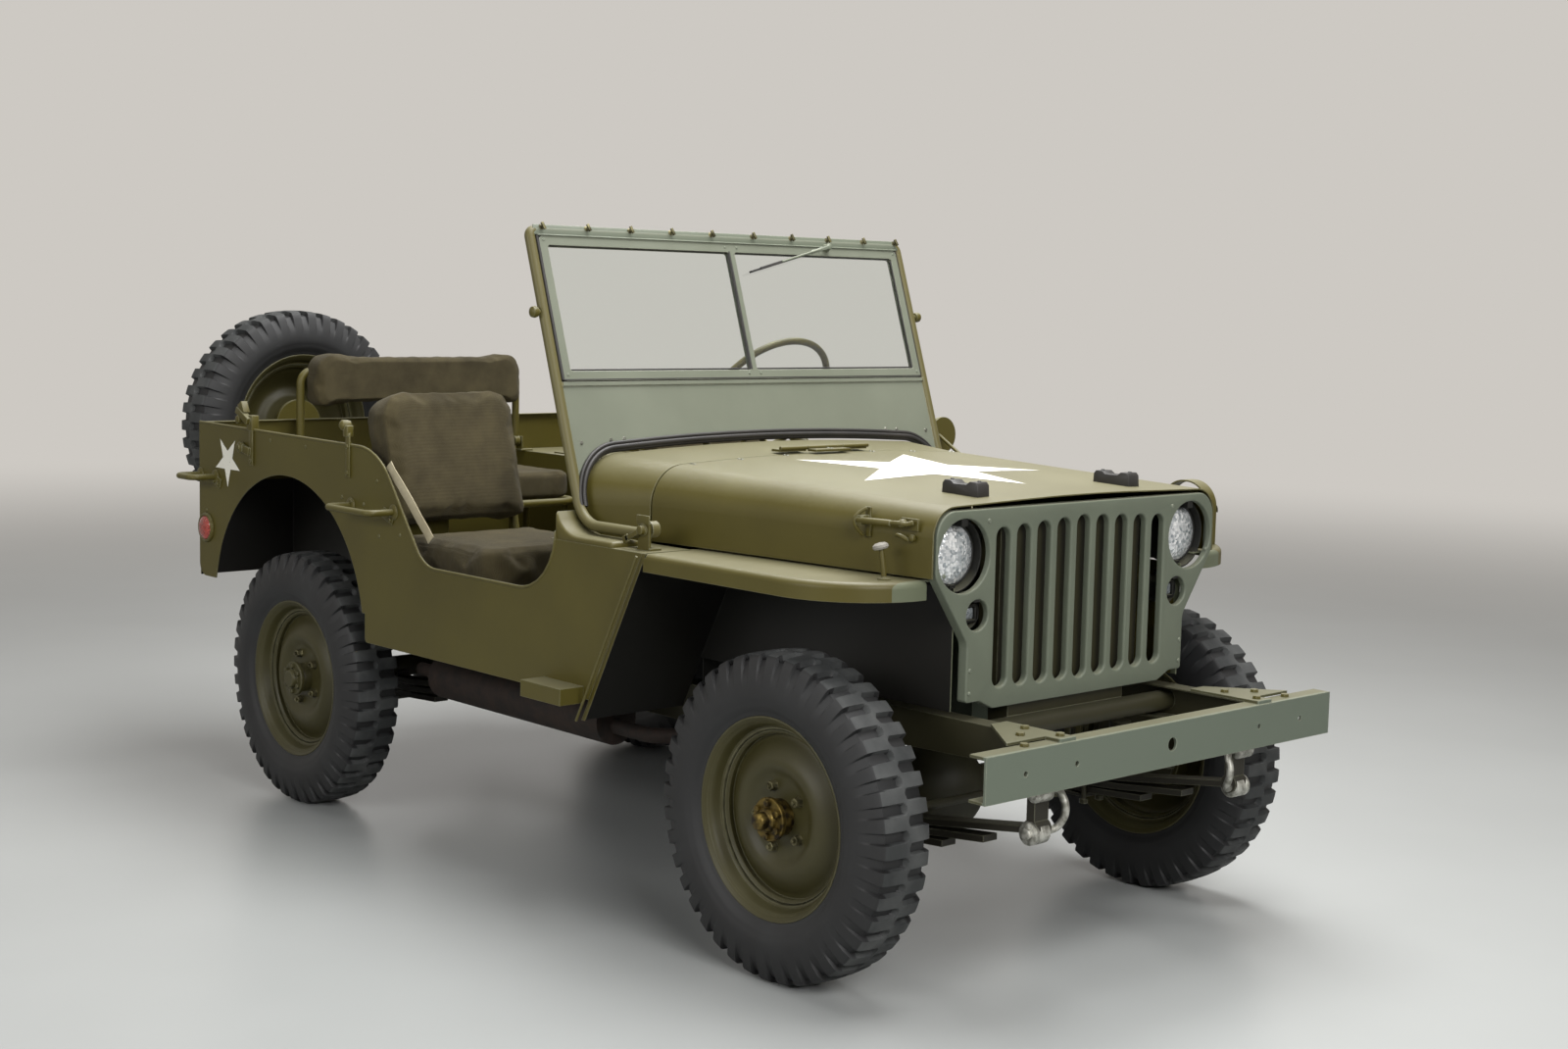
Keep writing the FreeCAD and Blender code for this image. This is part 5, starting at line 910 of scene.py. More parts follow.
middle = (start + tip) / 2 - screen_out * 0.007
turn = Matrix((screen_out, along, screen_out.cross(along))).transposed()
bm = bmesh.new()
block(bm, middle, (0.010, (tip - start).length, 0.0050), turn)
block(bm, middle + screen_out * 0.006, (0.003, (tip - start).length * 0.7, 0.0075), turn)
dress("wiper_blade", bm, BLACK_RUBBER, "windshield", bevel=0.0006)

# %%
KNOB = [(0.0, 0.0), (0.0, 0.006), (0.008, 0.006), (0.009, 0.012), (0.016, 0.0145), (0.024, 0.013),
        (0.028, 0.007), (0.029, 0.0)]
KNOB_Y, KNOB_Z = TUBE_Y + 0.010, 1.426
knobs = both_sides(lambda bm, side: lathe(bm, KNOB, on_screen(side * KNOB_Y, KNOB_Z), (0, side, 0), 18))
dress("sash_knobs", knobs, OLIVE, "windshield")
RIVETS = [(-0.600, 1.112), (-0.509, 1.116), (-0.467, 1.118), (0.444, 1.119), (0.486, 1.117), (0.600, 1.112)]
heads("panel_rivets", [(on_screen(y, z, 0.0055), screen_out) for y, z in RIVETS], "windshield", DULL_STEEL,
      0.0062, 0.0035, sides=12, taper=0.6)
SASH_SCREWS = [(side * y, z) for side in (-1, 1) for y in (0.607, 0.020) for z in (1.272, 1.598)]
heads("sash_screws", [(on_screen(y, z, 0.012), screen_out) for y, z in SASH_SCREWS], "windshield", GREY_GREEN,
      0.0045, 0.0020, sides=12, taper=0.7)

# %% [markdown]
# ## Painted stars
# Plain white five-pointed stars are stencilled on the hood and on the rear quarters. Paint lies on the
# steel, so the star is a thin skin dropped onto the pressing by casting rays at it, not a flat plate.

# %%
def surface_of(node):
    """A CAD node's surface, ready for rays."""
    return BVHTree.FromObject(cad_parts[node], bpy.context.evaluated_depsgraph_get())


hood_surface = surface_of("hood")


def on_hood(x, y, above=0.0007):
    """The place on the hood's top over a point of the ground."""
    hit = hood_surface.ray_cast(Vector((x, y, 1.6)), Vector((0, 0, -1)))[0]
    return hit + Vector((0, 0, above))


def star(bm, radius, turn, place_of):
    """A five-pointed star cut fine enough to follow a surface; place_of turns (a, b) into a place."""
    flat = bmesh.new()
    corners = []
    for i in range(10):
        r = radius if i % 2 == 0 else radius * 0.382
        a = turn + math.tau * i / 10
        corners.append(flat.verts.new((r * math.cos(a), r * math.sin(a), 0)))
    hub = flat.verts.new((0, 0, 0))
    for i in range(10):
        flat.faces.new((hub, corners[i], corners[(i + 1) % 10]))
    bmesh.ops.subdivide_edges(flat, edges=flat.edges, cuts=7, use_grid_fill=True)
    made = {v: bm.verts.new(place_of(v.co.x, v.co.y)) for v in flat.verts}
    for face in flat.faces:
        bm.faces.new([made[v] for v in face.verts])
    flat.free()


STAR_X, STAR_RADIUS = 0.919, 0.320
QUARTER_STAR = Vector((-1.255, 0.7006, 0.957))
bm = bmesh.new()
star(bm, STAR_RADIUS, 0.0, lambda a, b: on_hood(STAR_X + a, b))
hand_over(mesh_object("hood_star", bm, WHITE_PAINT), "hood_lid", 35)


def quarter_star(bm, side):
    """The star on one rear quarter."""
    star(bm, 0.078, -math.pi / 2, lambda a, b: Vector((QUARTER_STAR.x - a * side, side * QUARTER_STAR.y,
                                                       QUARTER_STAR.z + b)))


def face_away(bm):
    """Turn every face away from the car's middle plane."""
    for face in bm.faces:
        if face.normal.y * face.calc_center_median().y < 0:
            face.normal_flip()


stars = mesh_object("quarter_stars", both_sides(quarter_star), WHITE_PAINT)
reworked(stars, face_away)
hand_over(stars, "chassis", 35)

# %% [markdown]
# ## Beaded edges
# The tub's side is folded to a bead along the cut-out, so that it is stiff and safe to lean on. The
# bead is half-round bar along the same outline as the pressing.

# %%
TUB = 0.700


def filleted(rows, steps=8):
    """An outline from rows of (a, b, corner radius), its corners rounded."""
    places = []
    for index, (a, b, radius) in enumerate(rows):
        here = Vector((a, b))
        if radius == 0:
            places.append(here)
            continue
        to_last = (Vector(rows[index - 1][:2]) - here).normalized()
        to_next = (Vector(rows[index + 1][:2]) - here).normalized()
        half = to_last.angle(to_next) / 2
        start, end = here + to_last * radius / math.tan(half), here + to_next * radius / math.tan(half)
        centre = here + (to_last + to_next).normalized() * radius / math.sin(half)
        for i in range(steps + 1):
            ray = (start - centre).lerp(end - centre, i / steps)
            places.append(centre + ray.normalized() * radius)
    return places


# Columns: piece, the outline's x, z and corner radius, how far from the tub's side, the bar's radius.
BEADS = [
    ("cut_out_beads", [(-1.430, 1.0625, 0), (-0.422, 1.0485, 0.200), (-0.197, 0.757, 0.110),
                       (0.376, 0.757, 0.150), (0.376, 0.888, 0)], -0.0015, 0.0042),
    ("fender_beads", [(0.489, 0.470, 0), (0.708, 0.884, 0)], 0.0155, 0.0032),
]
for name, rows, out, radius in BEADS:
    bm = bmesh.new()
    for side in (-1, 1):
        round_bar(bm, (radius, [(x, side * (TUB + out), z) for x, z in filleted(rows)]))
    dress(name, bm, OLIVE, "chassis")

# %% [markdown]
# ## Hood catches
# Each side of the hood has a sprung hook that drops over a post on the fender. A rubber-topped stop
# stands beside it. They are worn pieces of bar and strap, so they are made of bar and strap.

# %%
# The hood's side: how far out it is at its rear end, where that is, and how fast it draws in.
SIDE_HALF, SIDE_REAR, SIDE_TAPER = 0.560, 0.565, 0.0872


def hood_side(x, z, out=0.0):
    """A place on the right side of the hood, some way out from it."""
    return Vector((x, SIDE_TAPER * (x - SIDE_REAR) - SIDE_HALF - out, z))


def boss(bm, place, *rows, axis=(0, -1, 0), turns=18):
    """A turned boss standing on a place: rows of height and radius between its foot and its top."""
    lathe(bm, [(0, 0), (0, rows[0][1]), *rows, (rows[-1][0], 0)], place, axis, turns)


def catch(bm):
    """Rod, spring clevis and its two brackets on the hood's right side."""
    block(bm, hood_side(1.236, 1.002, 0.003), (0.016, 0.005, 0.064))
    block(bm, hood_side(1.233, 1.006, 0.016), (0.014, 0.028, 0.020))
    block(bm, hood_side(1.350, 1.006, 0.003), (0.050, 0.005, 0.026))
    loop = (1.229, 0.972, 0.010), (1.222, 0.990, 0.030), (1.222, 1.018, 0.032), (1.240, 1.032, 0.012)
    hook = (1.312, 1.007, 0.026), (1.340, 1.010, 0.028), (1.356, 1.006, 0.022), (1.368, 1.012, 0.014)
    stay = (1.318, 0.980, 0.006), (1.336, 0.985, 0.020), (1.352, 0.972, 0.008)
    for radius, rows in ((0.0042, loop), (0.0052, hook), (0.0046, stay)):
        round_bar(bm, (radius, [hood_side(*row) for row in rows], "eased"))
    round_bar(bm, (0.0072, [hood_side(1.226, 1.006, 0.026), hood_side(1.318, 1.007, 0.026)]))
    boss(bm, hood_side(1.344, 1.008, 0.014), (0.010, 0.0095), (0.014, 0.006), turns=12)
    boss(bm, hood_side(1.360, 0.978, 0.004), (0.008, 0.0075), (0.010, 0.004), turns=12)


dress("hood_catches", mirrored(catch), OLIVE, "hood_lid", bevel=0.0006)


def stop_post(bm):
    """The bent post beside each catch, standing on the fender."""
    boss(bm, (1.327, -0.545, 0.889), (0.004, 0.014), (0.006, 0.008), (0.007, 0), axis=(0, 0, 1), turns=24)
    round_bar(bm, (0.0058, [(1.327, -0.545, 0.892), (1.324, -0.546, 0.925), (1.318, -0.547, 0.957)], "eased"))


dress("hood_stops", mirrored(stop_post), OLIVE, "chassis")
STOP_CAP = [(0, 0), (0, 0.006), (0.001, 0.0145), (0.005, 0.0175), (0.010, 0.0165), (0.014, 0.011),
            (0.0155, 0)]
stop_caps = mirrored(lambda bm: lathe(bm, STOP_CAP, (1.3185, -0.547, 0.953), (-0.22, -0.15, 1)))
dress("stop_caps", stop_caps, PALE_RUBBER, "chassis")

# %%
# The rest blocks: a raised saddle and two bolts each. And the screws of the hood's hinge.
REST_X, REST_Y, REST_HALF, REST_WIDE = 1.2895, -0.261, 0.054, 0.038


def rest_block(bm):
    """A rest block on the hood, its top hollowed to a saddle, where the folded windshield lies."""
    foot = on_hood(REST_X, REST_Y, 0.0).z - 0.003
    left = [(-REST_HALF, 0), (-REST_HALF + 0.002, 0.026), (-REST_HALF + 0.008, 0.033), (-0.028, 0.033),
            (-0.018, 0.026)]
    rows = left + [(-x, rise) for x, rise in reversed(left)]
    faces = (REST_Y + REST_WIDE / 2, REST_Y - REST_WIDE / 2)
    prism(bm, *([(REST_X + x, y, foot + rise) for x, rise in rows] for y in faces))
    for x in (-0.040, 0.040):
        boss(bm, (REST_X + x, REST_Y, foot + 0.0326), (0, 0.0050), (0.003, 0.0040), (0.0032, 0),
             axis=(0, 0, 1), turns=10)


dress("rest_blocks", mirrored(rest_block), BLACK_RUBBER, "hood_lid", bevel=0.0018, stands_for="hood_blocks")
HINGE = [(x, y) for x in (0.578, 0.590) for y in (-0.45, -0.30, -0.15, 0.0, 0.15, 0.30, 0.45)]
heads("hinge_screws", [(on_hood(x, y), (0, 0, 1)) for x, y in HINGE], "hood_lid", DULL_STEEL,
      0.0042, 0.0020, sides=10, taper=0.6)

# %% [markdown]
# ## Fittings on the tub
# Brackets for the canvas top's bows, the grab handles' feet, reflectors, and the clamps that hold the
# windshield's arms. Each is a pressed tab with one or two bolts.

# %%
REFLECTOR = Vector((-1.387, -TUB, 0.747))
# Columns: middle's x, how far out, z; sizes; turn round the Y axis.
PLATES = [
    # Tabs of the grab handles.
    ((-0.365, 0.002, 0.876), (0.052, 0.004, 0.030), 0.35),
    ((-1.318, 0.002, 0.892), (0.046, 0.004, 0.030), 0.35),
    # Strap bracket: a flat strap with a turned knob above the rail.
    ((-0.568, 0.003, 1.022), (0.020, 0.005, 0.120), 0),
    ((-0.571, 0.001, 1.088), (0.022, 0.020, 0.030), 0),
    # Bow bracket: a back strap, a clamp round the rail and a lower lug with its pin.
    ((-1.106, 0.003, 1.008), (0.020, 0.006, 0.106), 0),
    ((-1.110, -0.004, 1.078), (0.030, 0.024, 0.044), 0),
    ((-1.138, 0.010, 1.098), (0.074, 0.018, 0.020), 0.45),
    ((-1.146, 0.006, 1.118), (0.026, 0.020, 0.036), -0.5),
    ((-1.136, 0.008, 1.000), (0.058, 0.010, 0.022), 0.2),
]


def tub_fittings(bm):
    """Brackets, tabs and clamps on the right side of the tub."""
    for x, z in ((-0.556, 0.888), (-0.340, 0.888), (-1.424, 0.905), (-1.330, 0.905)):
        boss(bm, (x, -TUB, z), (0.003, 0.021), (0.006, 0.014), (0.007, 0), turns=20)
    for (x, out, z), sizes, angle in PLATES:
        block(bm, (x, -TUB - out, z), sizes, Matrix.Rotation(angle, 3, "Y"))
    boss(bm, (-0.578, -TUB + 0.010, 1.102), (0, 0.013), (0.010, 0.015), (0.024, 0.014), (0.030, 0.007),
         (0.031, 0), axis=(-0.3, -1, 0.1))
    boss(bm, (-1.160, -TUB - 0.004, 1.086), (0.016, 0.012), (0.018, 0.006), turns=14)
    boss(bm, (-1.158, -TUB - 0.003, 1.004), (0.012, 0.016), (0.014, 0.009), (0.018, 0.009))
    boss(bm, REFLECTOR, (0, 0.0445), (0.003, 0.0450), (0.009, 0.0415), (0.010, 0.0370), (0.006, 0.0360),
         turns=36)


dress("tub_fittings", mirrored(tub_fittings), OLIVE, "chassis", bevel=0.0012)
LENS_DOME = [(0.0, 0.0), (0.0, 0.0355), (0.004, 0.0350), (0.009, 0.0290), (0.012, 0.0180), (0.0135, 0.0)]
reflectors = mirrored(lambda bm: lathe(bm, LENS_DOME, REFLECTOR + Vector((0, -0.004, 0)), (0, -1, 0), 32))
dress("reflectors", reflectors, RED_LENS, "chassis")


# %%
def arm_clamp(bm):
    """The wing nut and plate that hold a windshield arm's front end."""
    y = -0.6615
    boss(bm, (0.664, y, 0.937), (0.002, 0.0150), (0.003, 0.0105), (0.013, 0.0105), (0.014, 0.006), (0.015, 0))
    for x, z, sizes in ((0.640, 0.925, (0.062, 0.005, 0.012)), (0.612, 0.912, (0.020, 0.005, 0.018))):
        block(bm, (x, y - 0.010, z), sizes, Matrix.Rotation(-0.42, 3, "Y"))
    block(bm, (0.664, y - 0.001, 0.960), (0.046, 0.003, 0.022))


dress("arm_clamps", mirrored(arm_clamp), OLIVE, "chassis", bevel=0.0008)
TUB_BOLTS = [(-0.372, 0.882), (-0.352, 0.866), (-0.548, 0.900), (-0.564, 0.876), (-1.334, 0.892),
             (-1.308, 0.882), (-1.106, 0.968), (-0.568, 0.974), (-0.568, 1.046)]
TUB_RIVETS = [(-0.423, 0.964), (-0.491, 0.896), (-0.603, 0.906), (-0.413, 0.817), (-0.309, 0.830),
              (-1.387, 0.800), (-0.80, 1.030), (-1.00, 1.035)]


def on_tub(rows, out=0.0):
    """Places on both sides of the tub, some way out, facing outward."""
    return [((x, side * (TUB + out), z), (0, side, 0)) for side in (-1, 1) for x, z in rows]


heads("tub_bolts", on_tub(TUB_BOLTS, 0.004), "chassis", OLIVE, 0.0072, 0.0050)
heads("tub_rivets", on_tub(TUB_RIVETS), "chassis", OLIVE, 0.0056, 0.0026, sides=12, taper=0.55)

# %% [markdown]
# ## Safety strap
# A cotton webbing strap hangs beside the seat from the tub's edge. It is one flat strip, drawn along a
# path with a front and a back face. The path is set from the photo, and its length is the flat one.

# %%
STRAP_WIDTH, STRAP_THICK = 0.030, 0.0022
STRAP_PATH = [Vector(place) for place in (
    (-0.378, -0.6925, 1.012), (-0.362, -0.6895, 0.992), (-0.330, -0.6855, 0.958), (-0.292, -0.6815, 0.920),
    (-0.250, -0.6790, 0.880), (-0.214, -0.6780, 0.846), (-0.196, -0.6785, 0.826))]


def strip(bm, path, width, wall):
    """A flat strip along a path, its width across the path and its face turned to the side."""
    rings = []
    for index, place in enumerate(path):
        before, after = path[max(0, index - 1)], path[min(len(path) - 1, index + 1)]
        along = (after - before).normalized()
        across = along.cross(Vector((0, -1, 0))).normalized()
        out = across.cross(along).normalized()
        middle = place + across * 0.0015 * math.sin(index * 1.9)
        rings.append([bm.verts.new(middle + across * width / 2 * a + out * wall / 2 * b)
                      for a, b in ((-1, -1), (0, -1.3), (1, -1), (1, 1), (0, 1.3), (-1, 1))])
    for low, high in zip(rings, rings[1:]):
        ladder(bm, low, high)
    bm.faces.new(list(reversed(rings[0])))
    bm.faces.new(rings[-1])


bm = bmesh.new()
strip(bm, STRAP_PATH, STRAP_WIDTH, STRAP_THICK)
strap = dress("safety_strap", bm, WEBBING, "chassis", bevel=0.0004)

# %% [markdown]
# ## Body stampings
# The cowl's foot swells out to the tub's side under each windshield arm, so that the arm lies along a
# shoulder. It is a closed pressing: its outline is drawn from the side, under the arm, then drawn in to
# the cowl. The arm is found by casting rays up at it, so the shoulder clears it wherever it runs.

# %%
screen_surface = surface_of("windshield_frame")
TUB_FRONT, LEDGE, CREST = 0.3725, 0.8825, 0.960
REACH, FINGER = 0.200, 0.008


def under_arm(x):
    """Height under the windshield's right arm, less a finger's width, or the shoulder's own crest."""
    heights = []
    for y in (-0.628, -0.634, -0.640, -0.646, -0.652):
        hit = screen_surface.ray_cast(Vector((x, y, LEDGE)), Vector((0, 0, 1)), REACH)[0]
        heights.append(hit.z if hit else LEDGE + REACH)
    return min(min(heights) - FINGER, CREST)


def shoulder(bm):
    """The right shoulder: a plate as deep as the step between the tub's side and the cowl."""
    crest = [TUB_FRONT + 0.222 * i / 16 for i in range(17)]
    rows = [(x, under_arm(x)) for x in crest] + [(crest[-1], LEDGE), (TUB_FRONT, LEDGE)]
    prism(bm, *([(x, y, z) for x, z in rows] for y in (-0.6992, -0.6140)))


dress("cowl_shoulders", mirrored(shoulder), BODY, "chassis", bevel=0.009, sharp=50)

# %%
# The tool boxes' lids on the wheelhouses, with their hinge strips and catches.
house_low, house_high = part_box("wheelhouses")
LID_X, LID_Z = (house_low[0] + house_high[0]) / 2 - 0.02, house_high[2]


def tool_lid(bm):
    """The lid over the right tool box, its hinge strip and its turn catch."""
    block(bm, (LID_X, -0.562, LID_Z + 0.0022), (0.470, 0.205, 0.0045))
    round_bar(bm, (0.0036, [(LID_X + x, -0.668, LID_Z + 0.0050) for x in (-0.225, 0.225)]))
    boss(bm, (LID_X, -0.482, LID_Z + 0.004), (0.004, 0.018), (0.006, 0.013), (0.010, 0.012), (0.011, 0),
         axis=(0, 0, 1), turns=20)
    block(bm, (LID_X, -0.482, LID_Z + 0.017), (0.034, 0.006, 0.008))


dress("tool_lids", mirrored(tool_lid), OLIVE, "chassis", bevel=0.0010)

# %% [markdown]
# ## Lamps
# The headlamps hang deep behind round holes. A lamp is a painted rim, a pressed-glass lens with small
# prisms and a dark bucket round it. The markers below show a small oblong lens in a dark recess. The
# blackout lamp on the left fender has a hood over a slit.

# %%
FORWARD = (1, 0, 0)
FACE_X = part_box("grille")[1][0]
HEAD_SIDE, HEAD_Z, HEAD_X = 0.391, 0.938, FACE_X - 0.046
MARKER_SIDE, MARKER_Z = 0.346, 0.808
# The section of a rolled rim: a half-round bead standing on a short barrel.
HEAD_RIM = [(-0.012, 0.0), (-0.012, 0.0629), (-0.010, 0.0705), (0.00456, 0.0705), (0.00722, 0.06822),
            (0.00684, 0.06518), (0.0038, 0.06214), (0.0, 0.0629), (0.0, 0.0)]
LENS_FORM = [(0.0, 0.0), (0.0, 0.0640), (0.004, 0.0632), (0.009, 0.0550), (0.013, 0.0420), (0.0155, 0.0220),
             (0.0165, 0.0)]
BUCKET = [(-0.072, 0.066), (-0.0268, 0.0785), (-0.0268, 0.0815), (-0.078, 0.070)]
RECESS = [(-0.062, 0.0), (-0.062, 0.0335), (-0.027, 0.0335), (-0.027, 0.0318), (-0.058, 0.031), (-0.058, 0.0)]
print("grille face at x", round(FACE_X, 4))


def head_rim(bm, side):
    """A headlamp's rim and the tab of its screw."""
    lathe(bm, HEAD_RIM, (HEAD_X, side * HEAD_SIDE, HEAD_Z), FORWARD, 48)
    block(bm, (HEAD_X + 0.006, side * HEAD_SIDE, HEAD_Z - 0.071), (0.014, 0.014, 0.012))


def head_lens(bm, side):
    """A headlamp's lens."""
    lathe(bm, LENS_FORM, (HEAD_X + 0.003, side * HEAD_SIDE, HEAD_Z), FORWARD, 48)


def buckets(bm, side):
    """The dark cup round a headlamp and the recess of a marker lamp."""
    lathe(bm, BUCKET, (FACE_X, side * HEAD_SIDE, HEAD_Z), FORWARD, 48, ring=True)
    lathe(bm, RECESS, (FACE_X, side * MARKER_SIDE, MARKER_Z), FORWARD, 32)


def marker_lens(bm, side):
    """A marker lamp's oblong lens."""
    block(bm, (FACE_X - 0.040, side * MARKER_SIDE, MARKER_Z), (0.020, 0.040, 0.026))


def marker_frame(bm, side):
    """The four bars round a marker lamp's lens."""
    for way in (-1, 1):
        block(bm, (FACE_X - 0.036, side * MARKER_SIDE, MARKER_Z + way * 0.0165), (0.020, 0.052, 0.006))
        block(bm, (FACE_X - 0.036, side * MARKER_SIDE + way * 0.0235, MARKER_Z), (0.020, 0.006, 0.034))


dress("headlamp_rims", both_sides(head_rim), DARK, "chassis")
dress("headlamp_lenses", both_sides(head_lens), PRISM_GLASS, "chassis")
dress("lamp_buckets", both_sides(buckets), DARK, "chassis")
dress("marker_lenses", both_sides(marker_lens), MARKER_GLASS, "chassis", bevel=0.004)
dress("marker_frames", both_sides(marker_frame), DARK, "chassis", bevel=0.0015)

# %%
# The blackout lamp's hood, slit and rim.
BLACKOUT = Vector((1.2715, 0.611, 0.948))
HOOD_RADIUS, HOOD_FROM, HOOD_ARC, HOOD_STEPS = 0.0465, 25, 130, 14
BLACKOUT_RIM = [(-0.008, 0.0), (-0.008, 0.0455), (0.004, 0.0455), (0.007, 0.0420), (0.006, 0.0380),
                (0.003, 0.0375), (0.003, 0.0)]
bm = bmesh.new()
lathe(bm, BLACKOUT_RIM, BLACKOUT, FORWARD, 40)
rungs = []
for i in range(HOOD_STEPS + 1):
    a = math.radians(HOOD_FROM + HOOD_ARC * i / HOOD_STEPS)
    y, z = HOOD_RADIUS * math.cos(a), HOOD_RADIUS * math.sin(a)
    reach = 0.022 + 0.020 * math.sin(a)
    rungs.append([bm.verts.new(BLACKOUT + Vector(c)) for c in ((0.0, y, z), (reach, y * 0.97, z * 0.97))])
for (a, b), (c, d) in zip(rungs, rungs[1:]):
    bm.faces.new((a, c, d, b))
dress("blackout_rim", bm, OLIVE, "chassis")
bm = bmesh.new()
block(bm, BLACKOUT + Vector((0.003, 0, -0.006)), (0.004, 0.050, 0.012))
dress("blackout_slit", bm, MARKER_GLASS, "chassis", bevel=0.0012)

# %% [markdown]
# ## Grille
# The grille is one sheet with nine slots, and every edge is rolled inward, which leaves narrow bright
# ribs between the slots. The outlines come from the CAD grille's front face. Each is offset into the
# sheet, rolled back over a quarter round and turned down behind, so the sheet is a closed shell.

# %%
SHEET = 0.0016


def outlines(node, front_x):
    """The closed outlines of a node's front face, each with its directions into the sheet."""
    bm = cad_copy(node)
    bm.normal_update()
    front = {f for f in bm.faces if f.normal.x > 0.999 and abs(f.calc_center_median().x - front_x) < 0.0005}
    steps = {}
    for edge in bm.edges:
        owners = [f for f in edge.link_faces if f in front]
        if len(owners) == 1:
            a, b = edge.verts
            along = (b.co - a.co).normalized()
            inward = Vector((0, -along.z, along.y))
            if inward.dot(owners[0].calc_center_median() - a.co) < 0:
                inward = -inward
            for start, end in ((a, b), (b, a)):
                steps.setdefault(start, []).append((end, inward))
    loops = []
    while steps:
        start = here = next(iter(steps))
        loop, last = [], None
        while here in steps:
            ways = steps.pop(here)
            mean = (ways[0][1] + ways[1][1]).normalized()
            loop.append((here.co.copy(), mean / max(0.5, mean.dot(ways[0][1]))))
            last, here = here, next((v for v, _ in ways if v != last and (v in steps or v == start)), start)
        loops.append(loop)
    bm.free()
    return loops


def rolled(bm, loop, radius, depth):
    """The rolled edge along an outline; returns the edges of its first and its last ring."""
    rows = [(radius * (1 - math.sin(math.radians(a))), -radius * (1 - math.cos(math.radians(a))))
            for a in range(0, 91, 18)]
    rows += [(0.0, -depth), (SHEET, -depth), (SHEET, -radius), (radius, -SHEET)]
    rings = [[bm.verts.new(place + inward * aside + Vector((back, 0, 0))) for place, inward in loop]
             for aside, back in rows]
    for one, two in zip(rings, rings[1:]):
        ladder(bm, one, two)
    return [[bm.edges.get(ends) for ends in zip(ring, ring[1:] + ring[:1])] for ring in (rings[0], rings[-1])]


def roll_of(loop):
    """Radius and depth of the roll: the nine slots', the outer edge's, or that of the lamps' holes."""
    width, height = (max(p[axis] for p, _ in loop) - min(p[axis] for p, _ in loop) for axis in (1, 2))
    if height > 0.2 and width < 0.1:
        return 0.0052, 0.017
    return 0.0034, 0.0245 if width > 0.5 else 0.014


bm = bmesh.new()
loops = outlines("grille", FACE_X)
fronts, backs = zip(*(rolled(bm, loop, *roll_of(loop)) for loop in loops))
for rims in (fronts, backs):
    bmesh.ops.triangle_fill(bm, edges=sum(rims, []), use_beauty=True, use_dissolve=False)
print("grille outlines:", len(loops), "open edges:", sum(not edge.is_manifold for edge in bm.edges))
dress("rolled_grille", bm, GREY_GREEN, "chassis", sharp=30, stands_for="grille")

# %% [markdown]
# ## Bumper and springs
# The bumper is bolted to the frame's horns, and the front springs hang from C-shaped shackles with
# threaded bushings.

# %%
bumper_surface = surface_of("front_bumper")
places = []
for side in (-1, 1):
    for x, y in ((1.652, 0.345), (1.652, 0.456), (1.560, 0.350), (1.600, 0.410)):
        top = bumper_surface.ray_cast(Vector((x, side * y, 1.2)), Vector((0, 0, -1)))[0]
        places.append((top, (0, 0, 1)))
heads("bumper_bolts", places, "chassis", OLIVE, 0.0105, 0.0070)
GRILLE_SCREWS = [(0.365, 0.640), (0.365, 0.690), (0.455, 0.900), (0.318, 1.010)]
heads("grille_screws", [((FACE_X, side * y, z), FORWARD) for side in (-1, 1) for y, z in GRILLE_SCREWS],
      "chassis", GREY_GREEN, 0.0055, 0.0028, sides=10, taper=0.6)

# %%
AXLE_X, SPRING_Y = 1.1395, -0.346
EYE_X, EYE_Z = AXLE_X + 0.460, 0.375
HANGER_X, HANGER_Z = EYE_X + 0.012, 0.462
# A bushing's section: along it in metres, and the share of its radius.
BUSHING = [(0, 0), (0, 0.8), (0.003, 1), (0.012, 1), (0.014, 0.86), (0.018, 0.86), (0.020, 1), (0.046, 1),
           (0.049, 0.8), (0.049, 0)]


def shackle(bm):
    """The C-shaped shackle of the right front spring, its bushings and their nuts."""
    inboard = SPRING_Y + 0.052
    round_bar(bm, (0.0085, [
        (HANGER_X, SPRING_Y - 0.020, 0.462), (HANGER_X, SPRING_Y + 0.010, 0.464), (HANGER_X, inboard, 0.466),
        (EYE_X + 0.034, inboard + 0.006, 0.420), (HANGER_X, inboard, EYE_Z), (EYE_X, SPRING_Y + 0.010, EYE_Z),
        (EYE_X, SPRING_Y - 0.020, EYE_Z)], "eased"))
    for x, z, radius in ((HANGER_X, HANGER_Z, 0.020), (EYE_X, EYE_Z, 0.0255)):
        rows = [(along, radius * share) for along, share in BUSHING]
        lathe(bm, rows, (x, SPRING_Y - 0.031, z), (0, 1, 0), 24)
        boss(bm, (x, SPRING_Y - 0.038, z), (0, radius * 0.52), (0.008, radius * 0.6), axis=(0, 1, 0), turns=6)


def u_bolts(bm):
    """The clamp under each front spring's middle, with the ends of its U-bolts."""
    for x in (AXLE_X - 0.045, AXLE_X + 0.045):
        for y in (SPRING_Y - 0.030, SPRING_Y + 0.030):
            round_bar(bm, (0.0065, [(x, y, 0.256), (x, y, 0.420)]))
            boss(bm, (x, y, 0.258), (0.010, 0.0115), axis=(0, 0, 1), turns=6)


dress("front_shackles", mirrored(shackle), SHACKLE, "chassis", bevel=0.0006)
dress("spring_u_bolts", mirrored(u_bolts), CHASSIS, "chassis")

# %% [markdown]
# ## Wheels
# A wheel is two pressings: a rim rolled to a lip on each side of a drop centre, and a disc that swells
# to a ring round the nuts. Both are turned on the lathe from their sections. Road wheels add the brake
# drum, the hub and the drive flange; five studs with nuts and six screws repeat round the axle. The
# front hubs end in an oily dust cap.

